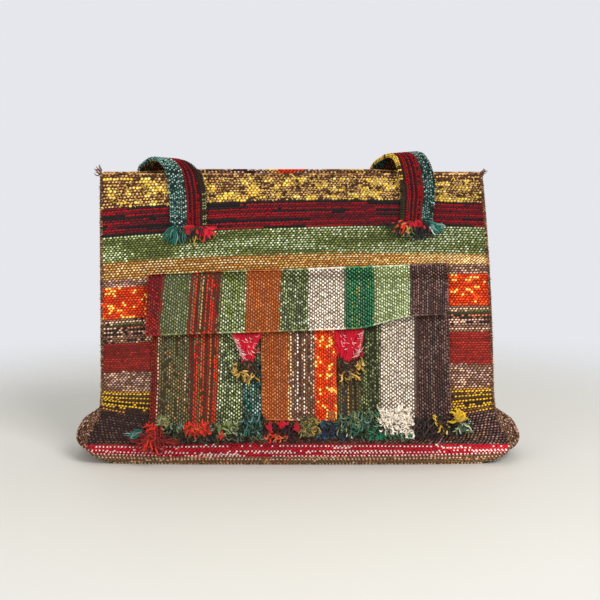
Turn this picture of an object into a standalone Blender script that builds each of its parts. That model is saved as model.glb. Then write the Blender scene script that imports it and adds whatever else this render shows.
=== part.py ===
"""Kilim shoulder bag with a fringed flap pocket. Metres, +Z up, the front faces -Y.

The bag stands on its base strip with its mouth nearly closed. Every cloth piece is a grid that
follows one wall formula, so that changing a size keeps the layers seated on each other.
"""

import math

import bmesh
import bpy
import numpy as np
from mathutils import Vector

# Driving dimensions of the bag
bag_height = 0.2930
mouth_crown = -0.0005
rear_swell = 0.0030
rear_swell_middle = -0.0150
rear_swell_reach = 0.1700
rear_swell_fade = 0.0900
mouth_half_depth = 0.0130
wall_lean = 0.0300
foot_bulge = 0.0165
foot_height = 0.0220
foot_spread = 0.0340
base_tuck = 0.0085
pillow = 0.16
half_width_top_left = 0.1990
half_width_top_right = 0.1852
half_width_low_left = 0.2000
half_width_low_right = 0.1995
side_flare = 0.0160
side_flare_height = 0.0200
side_flare_spread = 0.0230
side_bulge = 0.0155
side_bulge_top = 0.0640
side_bulge_fade = 0.0300
side_bulge_rise = 0.0160
corner_radius = 0.0260
strip_width = 0.0850

# Cloth
cloth = 0.0030
facing_cloth = 0.0015
lining_cloth = 0.0010
rib_height = 0.0005
clearance = 0.0004
seam_gap = 0.0007
layer_gap = 0.0006

# Mouth facing and lining
facing_height = 0.0400
lining_slack = 0.0022

# Pocket, flap and tongue
pocket_left = -0.1500
pocket_bottom = 0.0360
pocket_top = 0.1860
pocket_cloth = 0.0028
pocket_narrowing = 0.0300
flap_left = -0.1520
flap_right = 0.1500
flap_top = 0.1974
flap_slope = 0.0351
flap_play = 0.0016
flap_bottom = 0.1395
flap_rise = 0.0105
flap_rise_from = 0.0550
flap_rise_reach = 0.0650
flap_cloth = 0.0028
tongue_left = -0.0365
tongue_right = 0.0375
tongue_top = 0.1560
tongue_bottom = 0.0490
tongue_cloth = 0.0022

# Handles
strap_width = 0.0360
strap_cloth = 0.0038
strap_end_height = 0.2420
strap_left_x = -0.1110
strap_right_x = 0.1220
strap_arch_left = 0.0127
strap_arch_right = 0.0178
strap_roll_left = 0.29
strap_roll_right = 0.0
strap_lean = -0.0340
strap_drop = 0.1860
strap_play = 0.0030
bend_weight = 0.0300

# Tufts of yarn ends
strap_tuft_tall = 0.0180
strap_tuft_spread = 0.0100
strap_tuft_front_thick = 0.0065
strap_tuft_back_thick = 0.0038
flap_tuft_left_x = -0.0524
flap_tuft_left_tall = 0.0590
flap_tuft_right_x = 0.0514
flap_tuft_right_tall = 0.0590
flap_tuft_wide = 0.0290
flap_tuft_thick = 0.0062
flap_tuft_gap = 0.0012
fringe_tall = 0.0270
fringe_drop = 0.0020
fringe_thick = 0.0085
fringe_sway = 0.0015
fringe_left = -0.1734

# Stripes of the cloth: colour, then the height of its lower edge at the left, middle and right
panel_stripes = (
    ("slub_gold", 0.2587, 0.2681, 0.2648, 4),
    ("crimson", 0.2289, 0.2398, 0.2398, 4),
    ("leaf_green", 0.2037, 0.2136, 0.2124, 4),
    ("tan_tweed", 0.1862, 0.1973, 0.2037, 2),
    ("brown_marl", 0.1775, 0.1870, 0.1928, 2),
    ("orange", 0.1457, 0.1580, 0.1611, 4),
    ("dark_lines", 0.1213, 0.1310, 0.1346, 4),
    ("brick_red", 0.0929, 0.1000, 0.1016, 4),
    ("brown_tweed", 0.0732, 0.0755, 0.0767, 4),
    ("slub_gold", 0.0519, 0.0530, 0.0555, 4),
    ("plum", 0.0205, 0.0220, 0.0235, 4),
    ("red_flecked", 0.0140, 0.0140, 0.0165, 2),
    ("brown_tweed", 0.0, 0.0, 0.0, 5),
)
# Stripes across the pocket, the flap and the tongue: colour and right edge
pocket_stripes = (
    ("crimson", -0.1445), ("olive", -0.1110), ("rust_red", -0.0780), ("leaf_green", -0.0370),
    ("rust", -0.0100), ("brown_marl", 0.0375), ("olive", 0.0660), ("pine_green", 0.0830),
    ("cream", 0.1190), ("plum", 0.1550),
)
flap_stripes = (
    ("crimson", -0.1340), ("sage", -0.1070), ("rust_red", -0.0765), ("pale_green", -0.0515),
    ("rust", -0.0170), ("pine_green", 0.0125), ("cream", 0.0475), ("emerald", 0.0760),
    ("pale_green", 0.1130), ("plum", 0.1500),
)
tongue_stripes = (("rust", -0.0130), ("brown_marl", 0.0180), ("orange", 0.0375))
# Groups of yarn ends along the pocket's lower edge: colour and right end
fringe_groups = (
    ("teal", -0.1431), ("olive", -0.1149), ("orange", -0.0867), ("pine_green", -0.0605),
    ("teal", -0.0353), ("crimson", 0.0020), ("olive", 0.0232), ("navy", 0.0433),
    ("emerald", 0.0786), ("cream", 0.1200), ("plum", 0.1462), ("yellow", 0.1784),
)

# Yarn colours, linear
yarn = {
    "slub_gold": (0.55, 0.33, 0.06), "crimson": (0.22, 0.012, 0.025),
    "leaf_green": (0.13, 0.18, 0.07), "tan_tweed": (0.38, 0.22, 0.08),
    "brown_marl": (0.25, 0.16, 0.11), "orange": (0.75, 0.13, 0.02),
    "dark_lines": (0.12, 0.10, 0.08), "brick_red": (0.25, 0.02, 0.015),
    "brown_tweed": (0.28, 0.19, 0.13), "plum": (0.055, 0.035, 0.035),
    "red_flecked": (0.42, 0.04, 0.05), "olive": (0.13, 0.12, 0.05),
    "rust_red": (0.40, 0.06, 0.03), "rust": (0.36, 0.11, 0.035),
    "sage": (0.13, 0.15, 0.12), "pale_green": (0.26, 0.32, 0.18),
    "pine_green": (0.06, 0.13, 0.08), "cream": (0.60, 0.53, 0.42),
    "emerald": (0.02, 0.15, 0.08), "teal": (0.05, 0.20, 0.17),
    "yellow": (0.65, 0.42, 0.05), "cotton": (0.34, 0.27, 0.19),
    "carnation": (0.62, 0.03, 0.07), "navy": (0.021, 0.034, 0.107),
}


def smooth(t):
    t = min(max(t, 0.0), 1.0)
    return t * t * (3 - 2 * t)


def mouth_height(x, back=False):
    """Height of the mouth edge. The back one stands a little higher along its middle."""
    height = bag_height + mouth_crown * (1 - (x / half_width_top_left) ** 2)
    if back:
        height += rear_swell * smooth((rear_swell_reach - abs(x - rear_swell_middle)) / rear_swell_fade)
    return height


def half_width(z, left):
    """Half width of the wall at a height, with the flared foot and its rounded lower corner."""
    top = half_width_top_left if left else half_width_top_right
    low = half_width_low_left if left else half_width_low_right
    h = min(z / bag_height, 1.0)
    width = top + (low - top) * (1 - h * h)
    width += side_flare * math.exp(-(((z - side_flare_height) / side_flare_spread) ** 2))
    if z < corner_radius:
        turn = 1 - z / corner_radius
        width -= corner_radius * (1 - math.sqrt(max(0.0, 1 - turn * turn)))
    return width


def depth(x, z):
    """Distance of the wall's outer face from the middle plane."""
    h = z / bag_height
    out = mouth_half_depth + wall_lean * (1 - h)
    out += foot_bulge * math.exp(-(((z - foot_height) / foot_spread) ** 2))
    if z < foot_height:
        out -= base_tuck * (1 - z / foot_height) ** 2
    side = half_width_low_right if x > 0 else half_width_low_left
    u = min(abs(x) / (side + side_flare), 1.0)
    out *= 1 - pillow * u ** 4
    sag = 0.0010 * math.sin(31 * x + 9 * z) + 0.0008 * math.sin(58 * x - 24 * z + 1.3)
    return out + sag * smooth(z / 0.05) * smooth((bag_height - z) / 0.05)


def slope_factor(x, z):
    """Thickness measured along Y for a cloth of unit thickness that lies on the wall."""
    step = 0.0005
    low = max(z - step, 0.0)
    dx = (depth(x + step, z) - depth(x - step, z)) / (2 * step)
    dz = (depth(x, z + step) - depth(x, low)) / (z + step - low)
    return math.sqrt(1 + dx * dx + dz * dz)


def on_wall(x, z, lift, back=False):
    """Point at a distance outside the front or back wall's outer face."""
    y = depth(x, z) + lift * slope_factor(x, z)
    return Vector((x, y if back else -y, z))


def yarn_material(colour):
    name = "yarn_" + colour
    found = bpy.data.materials.get(name)
    if found:
        return found
    material = bpy.data.materials.new(name)
    material.use_nodes = True
    shader = material.node_tree.nodes["Principled BSDF"]
    shader.inputs["Base Color"].default_value = (*yarn[colour], 1)
    shader.inputs["Roughness"].default_value = 0.92
    shader.inputs["Metallic"].default_value = 0.0
    return material


def finish_object(name, bm, colours, round_cloth=True):
    """Makes the named object, outward faces first, with one material for each colour."""
    bmesh.ops.recalc_face_normals(bm, faces=bm.faces[:])
    if bm.calc_volume(signed=True) < 0:
        bmesh.ops.reverse_faces(bm, faces=bm.faces[:])
    mesh = bpy.data.meshes.new(name)
    bm.to_mesh(mesh)
    bm.free()
    for colour in colours:
        mesh.materials.append(yarn_material(colour))
    if round_cloth:
        mesh.shade_smooth()
        mesh.set_sharp_from_angle(angle=math.radians(50))
    made = bpy.data.objects.new(name, mesh)
    bag_collection.objects.link(made)
    return made


def cloth_piece(name, columns, rows, outer, inner, colours=("cotton",), colour_of=None):
    """A sheet of cloth: a grid with an outer and an inner face, closed along its edges.

    outer and inner give a point for (column, row) counted from 0.
    """
    bm = bmesh.new()
    bmesh.ops.create_grid(bm, x_segments=columns, y_segments=rows, size=0.5)
    spots = {}
    for vert in bm.verts:
        spots[vert] = (round((vert.co.x + 0.5) * columns), round((vert.co.y + 0.5) * rows))
    colours = list(dict.fromkeys(colours))
    for face in bm.faces:
        middle = face.calc_center_median()
        cell = (int((middle.x + 0.5) * columns), int((middle.y + 0.5) * rows))
        face.material_index = colours.index(colour_of(*cell)) if colour_of else 0
    places = {vert.co.copy().freeze(): spot for vert, spot in spots.items()}
    kept = set(bm.verts)
    bmesh.ops.extrude_face_region(bm, geom=bm.faces[:], use_keep_orig=True)
    for vert in bm.verts:
        spot = places[vert.co.copy().freeze()]
        vert.co = outer(*spot) if vert in kept else inner(*spot)
    return finish_object(name, bm, colours)


def stripe_rows(stripes, level):
    """Row heights of a striped wall, as functions of u from -1 to 1, with colour and rib phase."""
    rows = []
    upper = None
    for colour, left, middle, right, parts in stripes:
        lower = (left, middle, right)
        for part in range(parts):
            rows.append((upper, lower, part / parts, colour, part % 2))
        upper = lower
    rows.append((upper, upper, 0.0, None, 0))

    def at(keys, u):
        if keys is None:
            return mouth_height(u * half_width_top_left, level)
        if level:
            return keys[1]
        bend = (keys[0] + keys[2]) / 2 - keys[1]
        return keys[1] + (keys[2] - keys[0]) / 2 * u + bend * u * u

    def height(row, u):
        high, low, share, _, _ = rows[row]
        start = at(high, u)
        return start + (at(low, u) - start) * share

    return rows, height


def wall_panel(name, columns, back):
    """Front or back panel: horizontal stripes with raised ribs, from the mouth to the floor."""
    rows, height = stripe_rows(panel_stripes, level=back)
    count = len(rows) - 1

    def spot(column, row):
        u = 2 * column / columns - 1
        z = max(height(row, u), 0.0)
        return u * half_width(z, u < 0), z

    def outer(column, row):
        x, z = spot(column, row)
        lift = rib_height * rows[row][4] * smooth(z / 0.02)
        return on_wall(x, z, lift - rib_height, back)

    def inner(column, row):
        x, z = spot(column, row)
        return on_wall(x, z, -cloth, back)

    colours = [stripe[0] for stripe in panel_stripes]
    return cloth_piece(name, columns, count, outer, inner, colours, lambda c, r: rows[r][3])


def strip_fold(x, z):
    """How far the side strip folds inwards where the mouth narrows the bag."""
    half_gap = depth(x, z) - cloth * slope_factor(x, z) - seam_gap
    half_strip = strip_width / 2
    return math.sqrt(max(half_strip ** 2 - half_gap ** 2, 0.0)) if half_gap < half_strip else 0.0


def strip_bulge(z, t):
    """How far the side strip bulges outwards at the foot, for t from 0 to 1 across it."""
    low = smooth((side_bulge_top - z) / side_bulge_fade) * smooth(z / side_bulge_rise)
    return side_bulge * low * (1 - abs(2 * t - 1) ** 3)


def strip_path():
    """Outline of the bag from the left mouth corner, round the base, to the right mouth corner."""
    side_shares = (1.0, 0.86, 0.72, 0.58, 0.45, 0.355, 0.295, 0.25, 0.21, 0.175, 0.145, 0.115)
    turns = 6
    base = 8
    path = []
    for left in (True, False):
        leg = []
        sign = -1 if left else 1
        for share in side_shares:
            z = bag_height * share
            leg.append((sign * half_width(z, left), z))
        for i in range(turns):
            angle = math.pi / 2 * i / turns
            z = corner_radius * (1 - math.sin(angle))
            leg.append((sign * half_width(z, left), z))
        if left:
            path += leg
            start, end = -half_width(0.0, True), half_width(0.0, False)
            path += [(start + (end - start) * i / base, 0.0) for i in range(base + 1)]
        else:
            path += leg[::-1]
    return path


def base_and_side_strip():
    """One strip of tweed: side, base, side. Its edges meet the panels' inner faces."""
    path = strip_path()
    across = 6
    last = len(path) - 1

    def inward(i):
        x0, z0 = path[max(i - 1, 0)]
        x1, z1 = path[min(i + 1, last)]
        along = Vector((x1 - x0, 0, z1 - z0)).normalized()
        if i in (0, last):
            along = Vector((0, 0, -1 if i == 0 else 1))
        return Vector((-along.z, 0, along.x))

    def edge(x, z):
        z = max(z, 0.0)
        return depth(x, z) - cloth * slope_factor(x, z) - seam_gap

    def point(i, j, thickness):
        t = j / across
        x, z = path[i]
        way = inward(i)
        fold = strip_fold(x, z) * smooth((z - corner_radius) / 0.03)
        half = max(edge(x, z), 0.001)
        slant = math.sqrt(half * half + fold * fold) / half
        reach = fold * (1 - abs(2 * t - 1))
        if thickness:
            x += way.x * cloth
            z += way.z * cloth
        else:
            reach = max(reach - cloth * (slant - 1), 0.0)
        reach -= strip_bulge(z, t)
        x += reach if x < 0 else -reach
        y = edge(x, z) * (2 * t - 1)
        return Vector((x, y, max(z, 0.0)))

    return cloth_piece(
        "base_and_side_strip", last, across,
        lambda i, j: point(i, j, False), lambda i, j: point(i, j, True), ("brown_tweed",),
    )


def mouth_facing(name, back):
    """Band of striped cloth sewn inside the mouth."""
    columns, rows = 13, 2
    colours = ("plum", "cream", "slub_gold", "orange", "brown_marl")
    start = -half_width_top_left + cloth + strip_width / 2 + 0.008
    end = half_width_top_right - cloth - strip_width / 2 - 0.008

    def point(column, row, lift):
        x = start + (end - start) * column / columns
        high = mouth_height(x, back)
        z = high + (bag_height - facing_height - high) * row / rows
        return on_wall(x, z, lift, back)

    outer_lift = -cloth - clearance
    return cloth_piece(
        name, columns, rows,
        lambda c, r: point(c, r, outer_lift), lambda c, r: point(c, r, outer_lift - facing_cloth),
        colours, lambda c, r: colours[c % len(colours)],
    )


def lining():
    """Cotton lining: a loose inner bag that hangs from the facings' lower edges."""
    top = bag_height - facing_height - clearance
    shares = (1.0, 0.76, 0.54, 0.40, 0.32, 0.25, 0.18, 0.10)
    heights = [top * share for share in shares] + [cloth + 0.0060]
    sides = 6
    rings = []
    bm = bmesh.new()
    for z in heights:
        ring = []
        for back in (False, True):
            limits = []
            for left in (True, False):
                edge = half_width(z, left) * (-1 if left else 1)
                fold = strip_fold(edge, z) * smooth((z - corner_radius) / 0.03)
                limits.append(half_width(z, left) - cloth - fold - 0.0070)
            for i in range(sides + 1):
                x = -limits[0] + (limits[0] + limits[1]) * i / sides
                ring.append(bm.verts.new(on_wall(x, z, -cloth - lining_slack, back)))
        front = ring[: sides + 1]
        rear = ring[sides + 1:]
        rings.append(front + rear[::-1])
    count = len(rings[0])
    for upper, lower in zip(rings, rings[1:]):
        for i in range(count):
            j = (i + 1) % count
            bm.faces.new((upper[i], upper[j], lower[j], lower[i]))
    bottom = rings[-1]
    for i in range(sides):
        bm.faces.new((bottom[i], bottom[i + 1], bottom[count - 2 - i], bottom[count - 1 - i]))
    bmesh.ops.recalc_face_normals(bm, faces=bm.faces[:])
    if sum((f.normal.y * f.calc_center_median().y for f in bm.faces)) < 0:
        bmesh.ops.reverse_faces(bm, faces=bm.faces[:])
    made = finish_object("lining", bm, ("cotton",))
    wall = made.modifiers.new("lining cloth", "SOLIDIFY")
    wall.thickness = lining_cloth
    wall.offset = -1
    return made


def striped_patch(name, left, top, bottom, lifts, stripes, per_stripe, rows, narrowing=0.0):
    """A striped patch on the front, with raised ribs along its stripes.

    top and bottom give a height for x; lifts gives the inner and outer lift for (x, z).
    narrowing is the share by which its top edge is narrower than its lower edge.
    """
    edges = [left]
    colours = []
    for colour, end in stripes:
        begin = edges[-1]
        parts = max(2, 2 * round((end - begin) / per_stripe))
        edges += [begin + (end - begin) * (i + 1) / parts for i in range(parts)]
        colours += [colour] * parts
    columns = len(edges) - 1

    def spot(column, row):
        share = row / rows
        x = edges[column] * (1 - narrowing * (1 - share))
        return x, top(x) + (bottom(x) - top(x)) * share

    def outer(column, row):
        x, z = spot(column, row)
        low = rib_height if column % 2 == 0 else 0.0
        return on_wall(x, z, lifts(x, z)[1] - low)

    def inner(column, row):
        x, z = spot(column, row)
        return on_wall(x, z, lifts(x, z)[0])

    return cloth_piece(name, columns, rows, outer, inner, colours, lambda c, r: colours[c])


def pocket_panel():
    def lifts(x, z):
        return layer_gap, layer_gap + pocket_cloth

    return striped_patch(
        "pocket_panel", pocket_left, lambda x: pocket_top, lambda x: pocket_bottom,
        lifts, pocket_stripes, 0.030, 9, pocket_narrowing,
    )


pocket_face = layer_gap + pocket_cloth
tongue_face = pocket_face + layer_gap + tongue_cloth


def flap_edge(x):
    """Lower edge of the flap: it runs along with the upper edge, and rises more at the right."""
    return flap_bottom + flap_slope * x + flap_rise * smooth((x - flap_rise_from) / flap_rise_reach)


def pocket_flap():
    def lifts(x, z):
        near = smooth((z - pocket_top - 0.001) / (flap_top - pocket_top - 0.001))
        under = layer_gap + (tongue_face + flap_play) * (1 - near)
        return under, under + flap_cloth

    return striped_patch(
        "pocket_flap", flap_left, lambda x: flap_top + flap_slope * x, flap_edge, lifts,
        flap_stripes, 0.030, 6,
    )


def flap_tongue():
    def lifts(x, z):
        return pocket_face + layer_gap, tongue_face

    return striped_patch(
        "flap_tongue", tongue_left, lambda x: tongue_top, lambda x: tongue_bottom,
        lifts, tongue_stripes, 0.018, 8,
    )


def ribbon(name, stations, lengths, colours):
    """A flat strap through stations of (point, outward direction), by a smooth curve."""
    points = [np.array(p) for p, _ in stations]
    ways = [np.array(n) for _, n in stations]

    def between(values, i, t):
        a, b, c, d = (values[min(max(i + k, 0), len(values) - 1)] for k in (-1, 0, 1, 2))
        return 0.5 * (
            2 * b + (c - a) * t + (2 * a - 5 * b + 4 * c - d) * t * t
            + (3 * b - a - 3 * c + d) * t ** 3
        )

    fine = []
    for i in range(len(points) - 1):
        for k in range(12):
            fine.append((between(points, i, k / 12), between(ways, i, k / 12)))
    fine.append((points[-1], ways[-1]))
    walked = [0.0]
    for (a, turn_a), (b, turn_b) in zip(fine, fine[1:]):
        bend = float(np.linalg.norm(turn_b - turn_a))
        walked.append(walked[-1] + float(np.linalg.norm(b - a)) + bend_weight * bend)
    spots = np.linspace(0, walked[-1], lengths + 1)
    centre = np.array([
        [np.interp(s, walked, [f[0][axis] for f in fine]) for axis in range(3)] for s in spots
    ])
    facing = np.array([
        [np.interp(s, walked, [f[1][axis] for f in fine]) for axis in range(3)] for s in spots
    ])
    along = np.gradient(centre, axis=0)
    along /= np.linalg.norm(along, axis=1)[:, None]
    side = np.cross(facing, along)
    side /= np.linalg.norm(side, axis=1)[:, None]
    normal = np.cross(along, side)
    across = len(colours)

    def point(i, j, outside):
        share = j / across - 0.5
        rib = 0.0 if j % 2 else rib_height
        lift = strap_cloth / 2 - rib if outside else -strap_cloth / 2
        return Vector(centre[i] + side[i] * strap_width * share + normal[i] * lift)

    return cloth_piece(
        name, lengths, across, lambda i, j: point(i, j, True), lambda i, j: point(i, j, False),
        colours, lambda i, j: colours[j],
    )


def wall_station(x, z, lift, back, turned=False):
    """Strap station on the wall, facing away from it, or towards it when turned over."""
    step = 0.002
    dx = (depth(x + step, z) - depth(x - step, z)) / (2 * step)
    dz = (depth(x, z + step) - depth(x, z - step)) / (2 * step)
    sign = -1 if turned else 1
    return on_wall(x, z, lift, back), (-dx * sign, sign if back else -sign, -dz * sign)


strap_sewn = layer_gap + strap_cloth / 2
back_strap_out = strap_sewn + strap_cloth + layer_gap
front_strap_out = back_strap_out + strap_cloth + strap_play


def front_strap():
    """Handle sewn to the front, thrown back over the mouth and hanging behind the bag."""
    def leg(x, loop_x, arch, roll):
        behind = x + strap_lean
        top = bag_height + arch
        middle = (bag_height + top) / 2
        return [
            wall_station(x, strap_end_height, strap_sewn, False),
            wall_station(x - 0.0005, strap_end_height + 0.020, strap_sewn, False),
            wall_station(x - 0.0015, bag_height - 0.018, strap_sewn + 0.0010, False),
            wall_station(x - 0.0045, bag_height - 0.0045, strap_sewn + 0.0022, False),
            (Vector((x - 0.0090, -mouth_half_depth - 0.0062, middle + 0.0008)), (roll, -1, 0.55)),
            (Vector((x - 0.0155, -mouth_half_depth + 0.0025, top - 0.0018)), (roll, -0.5, 0.9)),
            (Vector((x - 0.0225, 0.0020, top)), (roll, 0.05, 1)),
            (Vector((x - 0.0290, mouth_half_depth + 0.0010, top - 0.0042)), (roll / 2, 0.7, 0.75)),
            (Vector((behind + 0.0010, mouth_half_depth + front_strap_out - 0.001,
                     bag_height - 0.0020)), (0, 1, 0.25)),
            wall_station(behind - 0.0030, bag_height - 0.030, front_strap_out, True),
            wall_station(loop_x, bag_height - 0.095, front_strap_out, True),
        ]

    low = bag_height - strap_drop
    left_x = strap_left_x + strap_lean - 0.010
    right_x = strap_right_x + strap_lean - 0.012
    centre = (left_x + right_x) / 2
    reach = (right_x - left_x) / 2
    turn_z = low + reach
    stations = leg(strap_left_x, left_x, strap_arch_left, strap_roll_left)
    for i in range(1, 8):
        angle = math.pi * i / 8
        x = centre - reach * math.cos(angle)
        z = turn_z - reach * math.sin(angle)
        stations.append(wall_station(x, z, front_strap_out, True))
    stations += leg(strap_right_x, right_x, strap_arch_right, strap_roll_right)[::-1]
    return ribbon("front_strap", stations, 48, ("teal", "teal", "crimson", "crimson"))


def back_strap():
    """Handle sewn to the back: it folds over just under the mouth and hangs down."""
    fold_z = bag_height - 0.0110
    fold_out = (strap_sewn + back_strap_out) / 2

    def leg(x, loop_x):
        return [
            wall_station(x, strap_end_height, strap_sewn, True),
            wall_station(x, strap_end_height + 0.020, strap_sewn, True),
            wall_station(x, fold_z - 0.004, strap_sewn, True),
            (on_wall(x, fold_z, fold_out, True) + Vector((0, 0, 0.0010)), (0, 0.05, -1)),
            wall_station(x, fold_z - 0.004, back_strap_out, True, turned=True),
            wall_station(x, bag_height - 0.045, back_strap_out, True, turned=True),
            wall_station(loop_x, bag_height - 0.090, back_strap_out, True, turned=True),
        ]

    low = bag_height - strap_drop + 0.004
    left_x = strap_left_x + 0.004
    right_x = strap_right_x - 0.004
    centre = (left_x + right_x) / 2
    reach = (right_x - left_x) / 2
    stations = leg(strap_left_x, left_x)
    turn_z = low + reach * 0.85
    for i in range(1, 8):
        angle = math.pi * i / 8
        x = centre - reach * math.cos(angle)
        z = turn_z - reach * 0.85 * math.sin(angle)
        stations.append(wall_station(x, z, back_strap_out, True, turned=True))
    stations += leg(strap_right_x, right_x)[::-1]
    return ribbon("back_strap", stations, 52, ("teal", "teal", "crimson", "crimson"))


def tuft(name, x, z, wide, tall, lift, thick, colours, back=False, lobes=7, taper=0.0):
    """A brush of cut yarn ends: a ball drawn out into lobes, flat against the cloth behind it."""
    bm = bmesh.new()
    bmesh.ops.create_icosphere(bm, subdivisions=2, radius=1.0)
    for vert in bm.verts:
        a, b, c = vert.co.normalized()
        angle = math.atan2(c, a)
        lobe = 1 - 0.22 * (0.5 + 0.5 * math.sin(lobes * angle + 2.1 * b))
        size = lobe * (1 - taper * (0.5 - 0.5 * c))
        px = x + a * wide / 2 * size
        pz = z + c * tall / 2 * (0.88 + 0.12 * math.sin(lobes * 1.7 * a + 0.6))
        out = lift + thick * max(0.70 - b, 0.0) / 1.70 * (0.8 + 0.2 * lobe)
        vert.co = on_wall(px, pz, out, back)
    names = list(dict.fromkeys(colours))
    for face in bm.faces:
        share = (face.calc_center_median().x - (x - wide / 2)) / wide
        pick = min(max(int(share * len(colours)), 0), len(colours) - 1)
        face.material_index = names.index(colours[pick])
    return finish_object(name, bm, names)


def strap_tufts():
    """Frayed yarn ends under each of the four sewn strap ends."""
    ends = (
        ("front_left", strap_left_x, False, ("teal", "crimson")),
        ("front_right", strap_right_x, False, ("orange", "crimson", "pine_green", "teal")),
        ("back_left", strap_left_x, True, ("teal", "crimson")),
        ("back_right", strap_right_x, True, ("crimson", "teal")),
    )
    for place, x, back, colours in ends:
        tuft(
            "strap_tuft_" + place, x, strap_end_height - layer_gap - strap_tuft_tall / 2,
            strap_width + strap_tuft_spread, strap_tuft_tall, layer_gap,
            strap_tuft_back_thick if back else strap_tuft_front_thick, colours, back, lobes=9,
        )


def flap_tufts():
    """Two carnation tufts that hang from under the flap over the pocket."""
    lift = pocket_face + layer_gap
    for side, x, tall in (
        ("left", flap_tuft_left_x, flap_tuft_left_tall),
        ("right", flap_tuft_right_x, flap_tuft_right_tall),
    ):
        top = flap_edge(x - flap_tuft_wide / 2) - flap_tuft_gap
        tuft("flap_tuft_" + side, x, top - tall / 2, flap_tuft_wide, tall, lift, flap_tuft_thick,
             ("carnation", "yellow"), lobes=8, taper=0.10)


def pocket_fringe():
    """Warp ends of the pocket cloth, knotted and cut in groups along its lower edge."""
    start = fringe_left
    for number, (colour, end) in enumerate(fringe_groups, start=1):
        sway = fringe_sway * math.sin(2.3 * number)
        tuft(
            f"pocket_fringe_{number:02d}", (start + end) / 2, pocket_bottom - fringe_drop + sway,
            end - start - layer_gap, fringe_tall, pocket_face + layer_gap, fringe_thick,
            (colour,), lobes=6,
        )
        start = end


for old in list(bpy.data.objects):
    bpy.data.objects.remove(old)
bag_collection = bpy.data.collections.new("kilim_shoulder_bag")
bpy.context.scene.collection.children.link(bag_collection)

wall_panel("front_panel", 12, back=False)
wall_panel("back_panel", 10, back=True)
base_and_side_strip()
mouth_facing("front_facing", back=False)
mouth_facing("back_facing", back=True)
lining()
pocket_panel()
pocket_flap()
flap_tongue()
front_strap()
back_strap()
strap_tufts()
flap_tufts()
pocket_fringe()
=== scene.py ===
import math
import bpy
import numpy as np
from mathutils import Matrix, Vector


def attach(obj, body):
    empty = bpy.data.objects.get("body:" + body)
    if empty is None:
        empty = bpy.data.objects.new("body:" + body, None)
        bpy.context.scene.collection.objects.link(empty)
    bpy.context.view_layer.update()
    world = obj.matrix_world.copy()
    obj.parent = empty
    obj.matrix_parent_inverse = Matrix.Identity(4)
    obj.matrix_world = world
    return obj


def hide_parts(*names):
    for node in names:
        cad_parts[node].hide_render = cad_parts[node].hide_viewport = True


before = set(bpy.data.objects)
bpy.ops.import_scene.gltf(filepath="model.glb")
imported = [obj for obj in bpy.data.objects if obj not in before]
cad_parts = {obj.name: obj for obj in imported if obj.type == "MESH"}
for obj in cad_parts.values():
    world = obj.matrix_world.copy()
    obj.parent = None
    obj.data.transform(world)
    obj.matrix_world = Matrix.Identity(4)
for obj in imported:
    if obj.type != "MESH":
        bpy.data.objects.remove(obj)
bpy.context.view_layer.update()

scene = bpy.context.scene


# The wall that every cloth follows.
wall = {
    "height": 0.293, "crown": -0.0005, "rearSwell": 0.003, "mouthDepth": 0.013, "lean": 0.03,
    "foot": 0.0165, "footHeight": 0.022, "footSpread": 0.034, "tuck": 0.0085, "pillow": 0.16,
    "topLeft": 0.199, "topRight": 0.1852, "lowLeft": 0.2, "lowRight": 0.1995,
    "flare": 0.016, "flareHeight": 0.02, "flareSpread": 0.023, "corner": 0.026,
    "bulge": 0.0155, "bulgeTop": 0.064, "bulgeFade": 0.03, "bulgeRise": 0.016,
    "cloth": 0.003, "facing": 0.0015, "gap": 0.0006, "seam": 0.0007, "stripWidth": 0.085,
    "facingHeight": 0.04, "facingGap": 0.0004, "facingInset": 0.008, "sagFade": 0.05,
    "waves": ((0.001, 31, 9, 0), (0.0008, 58, -24, 1.3)),
}


def smooth(t):
    t = np.clip(t, 0.0, 1.0)
    return t * t * (3 - 2 * t)


def halfWidth(z, left):
    top = np.where(left, wall["topLeft"], wall["topRight"])
    low = np.where(left, wall["lowLeft"], wall["lowRight"])
    h = np.minimum(z / wall["height"], 1.0)
    width = top + (low - top) * (1 - h * h)
    width = width + wall["flare"] * np.exp(-(((z - wall["flareHeight"]) / wall["flareSpread"]) ** 2))
    turn = np.clip(1 - z / wall["corner"], 0, 1)
    return width - wall["corner"] * (1 - np.sqrt(np.maximum(0.0, 1 - turn * turn)))


def depthAt(x, z):
    out = wall["mouthDepth"] + wall["lean"] * (1 - z / wall["height"])
    out = out + wall["foot"] * np.exp(-(((z - wall["footHeight"]) / wall["footSpread"]) ** 2))
    out = out - wall["tuck"] * np.maximum(1 - z / wall["footHeight"], 0) ** 2
    side = np.where(x > 0, wall["lowRight"], wall["lowLeft"]) + wall["flare"]
    out = out * (1 - wall["pillow"] * np.minimum(np.abs(x) / side, 1.0) ** 4)
    sag = sum(size * np.sin(wide * x + tall * z + phase) for size, wide, tall, phase in wall["waves"])
    return out + sag * smooth(z / wall["sagFade"]) * smooth((wall["height"] - z) / wall["sagFade"])


def slopeAt(x, z):
    step = 0.0005
    low = np.maximum(z - step, 0.0)
    dx = (depthAt(x + step, z) - depthAt(x - step, z)) / (2 * step)
    dz = (depthAt(x, z + step) - depthAt(x, low)) / (z + step - low)
    return np.sqrt(1 + dx * dx + dz * dz)


def onWall(x, z, lift, back=False):
    x, z, lift = np.broadcast_arrays(np.asarray(x, float), np.asarray(z, float), np.asarray(lift, float))
    y = depthAt(x, z) + lift * slopeAt(x, z)
    return np.stack([x, y if back else -y, z], -1)


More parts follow.
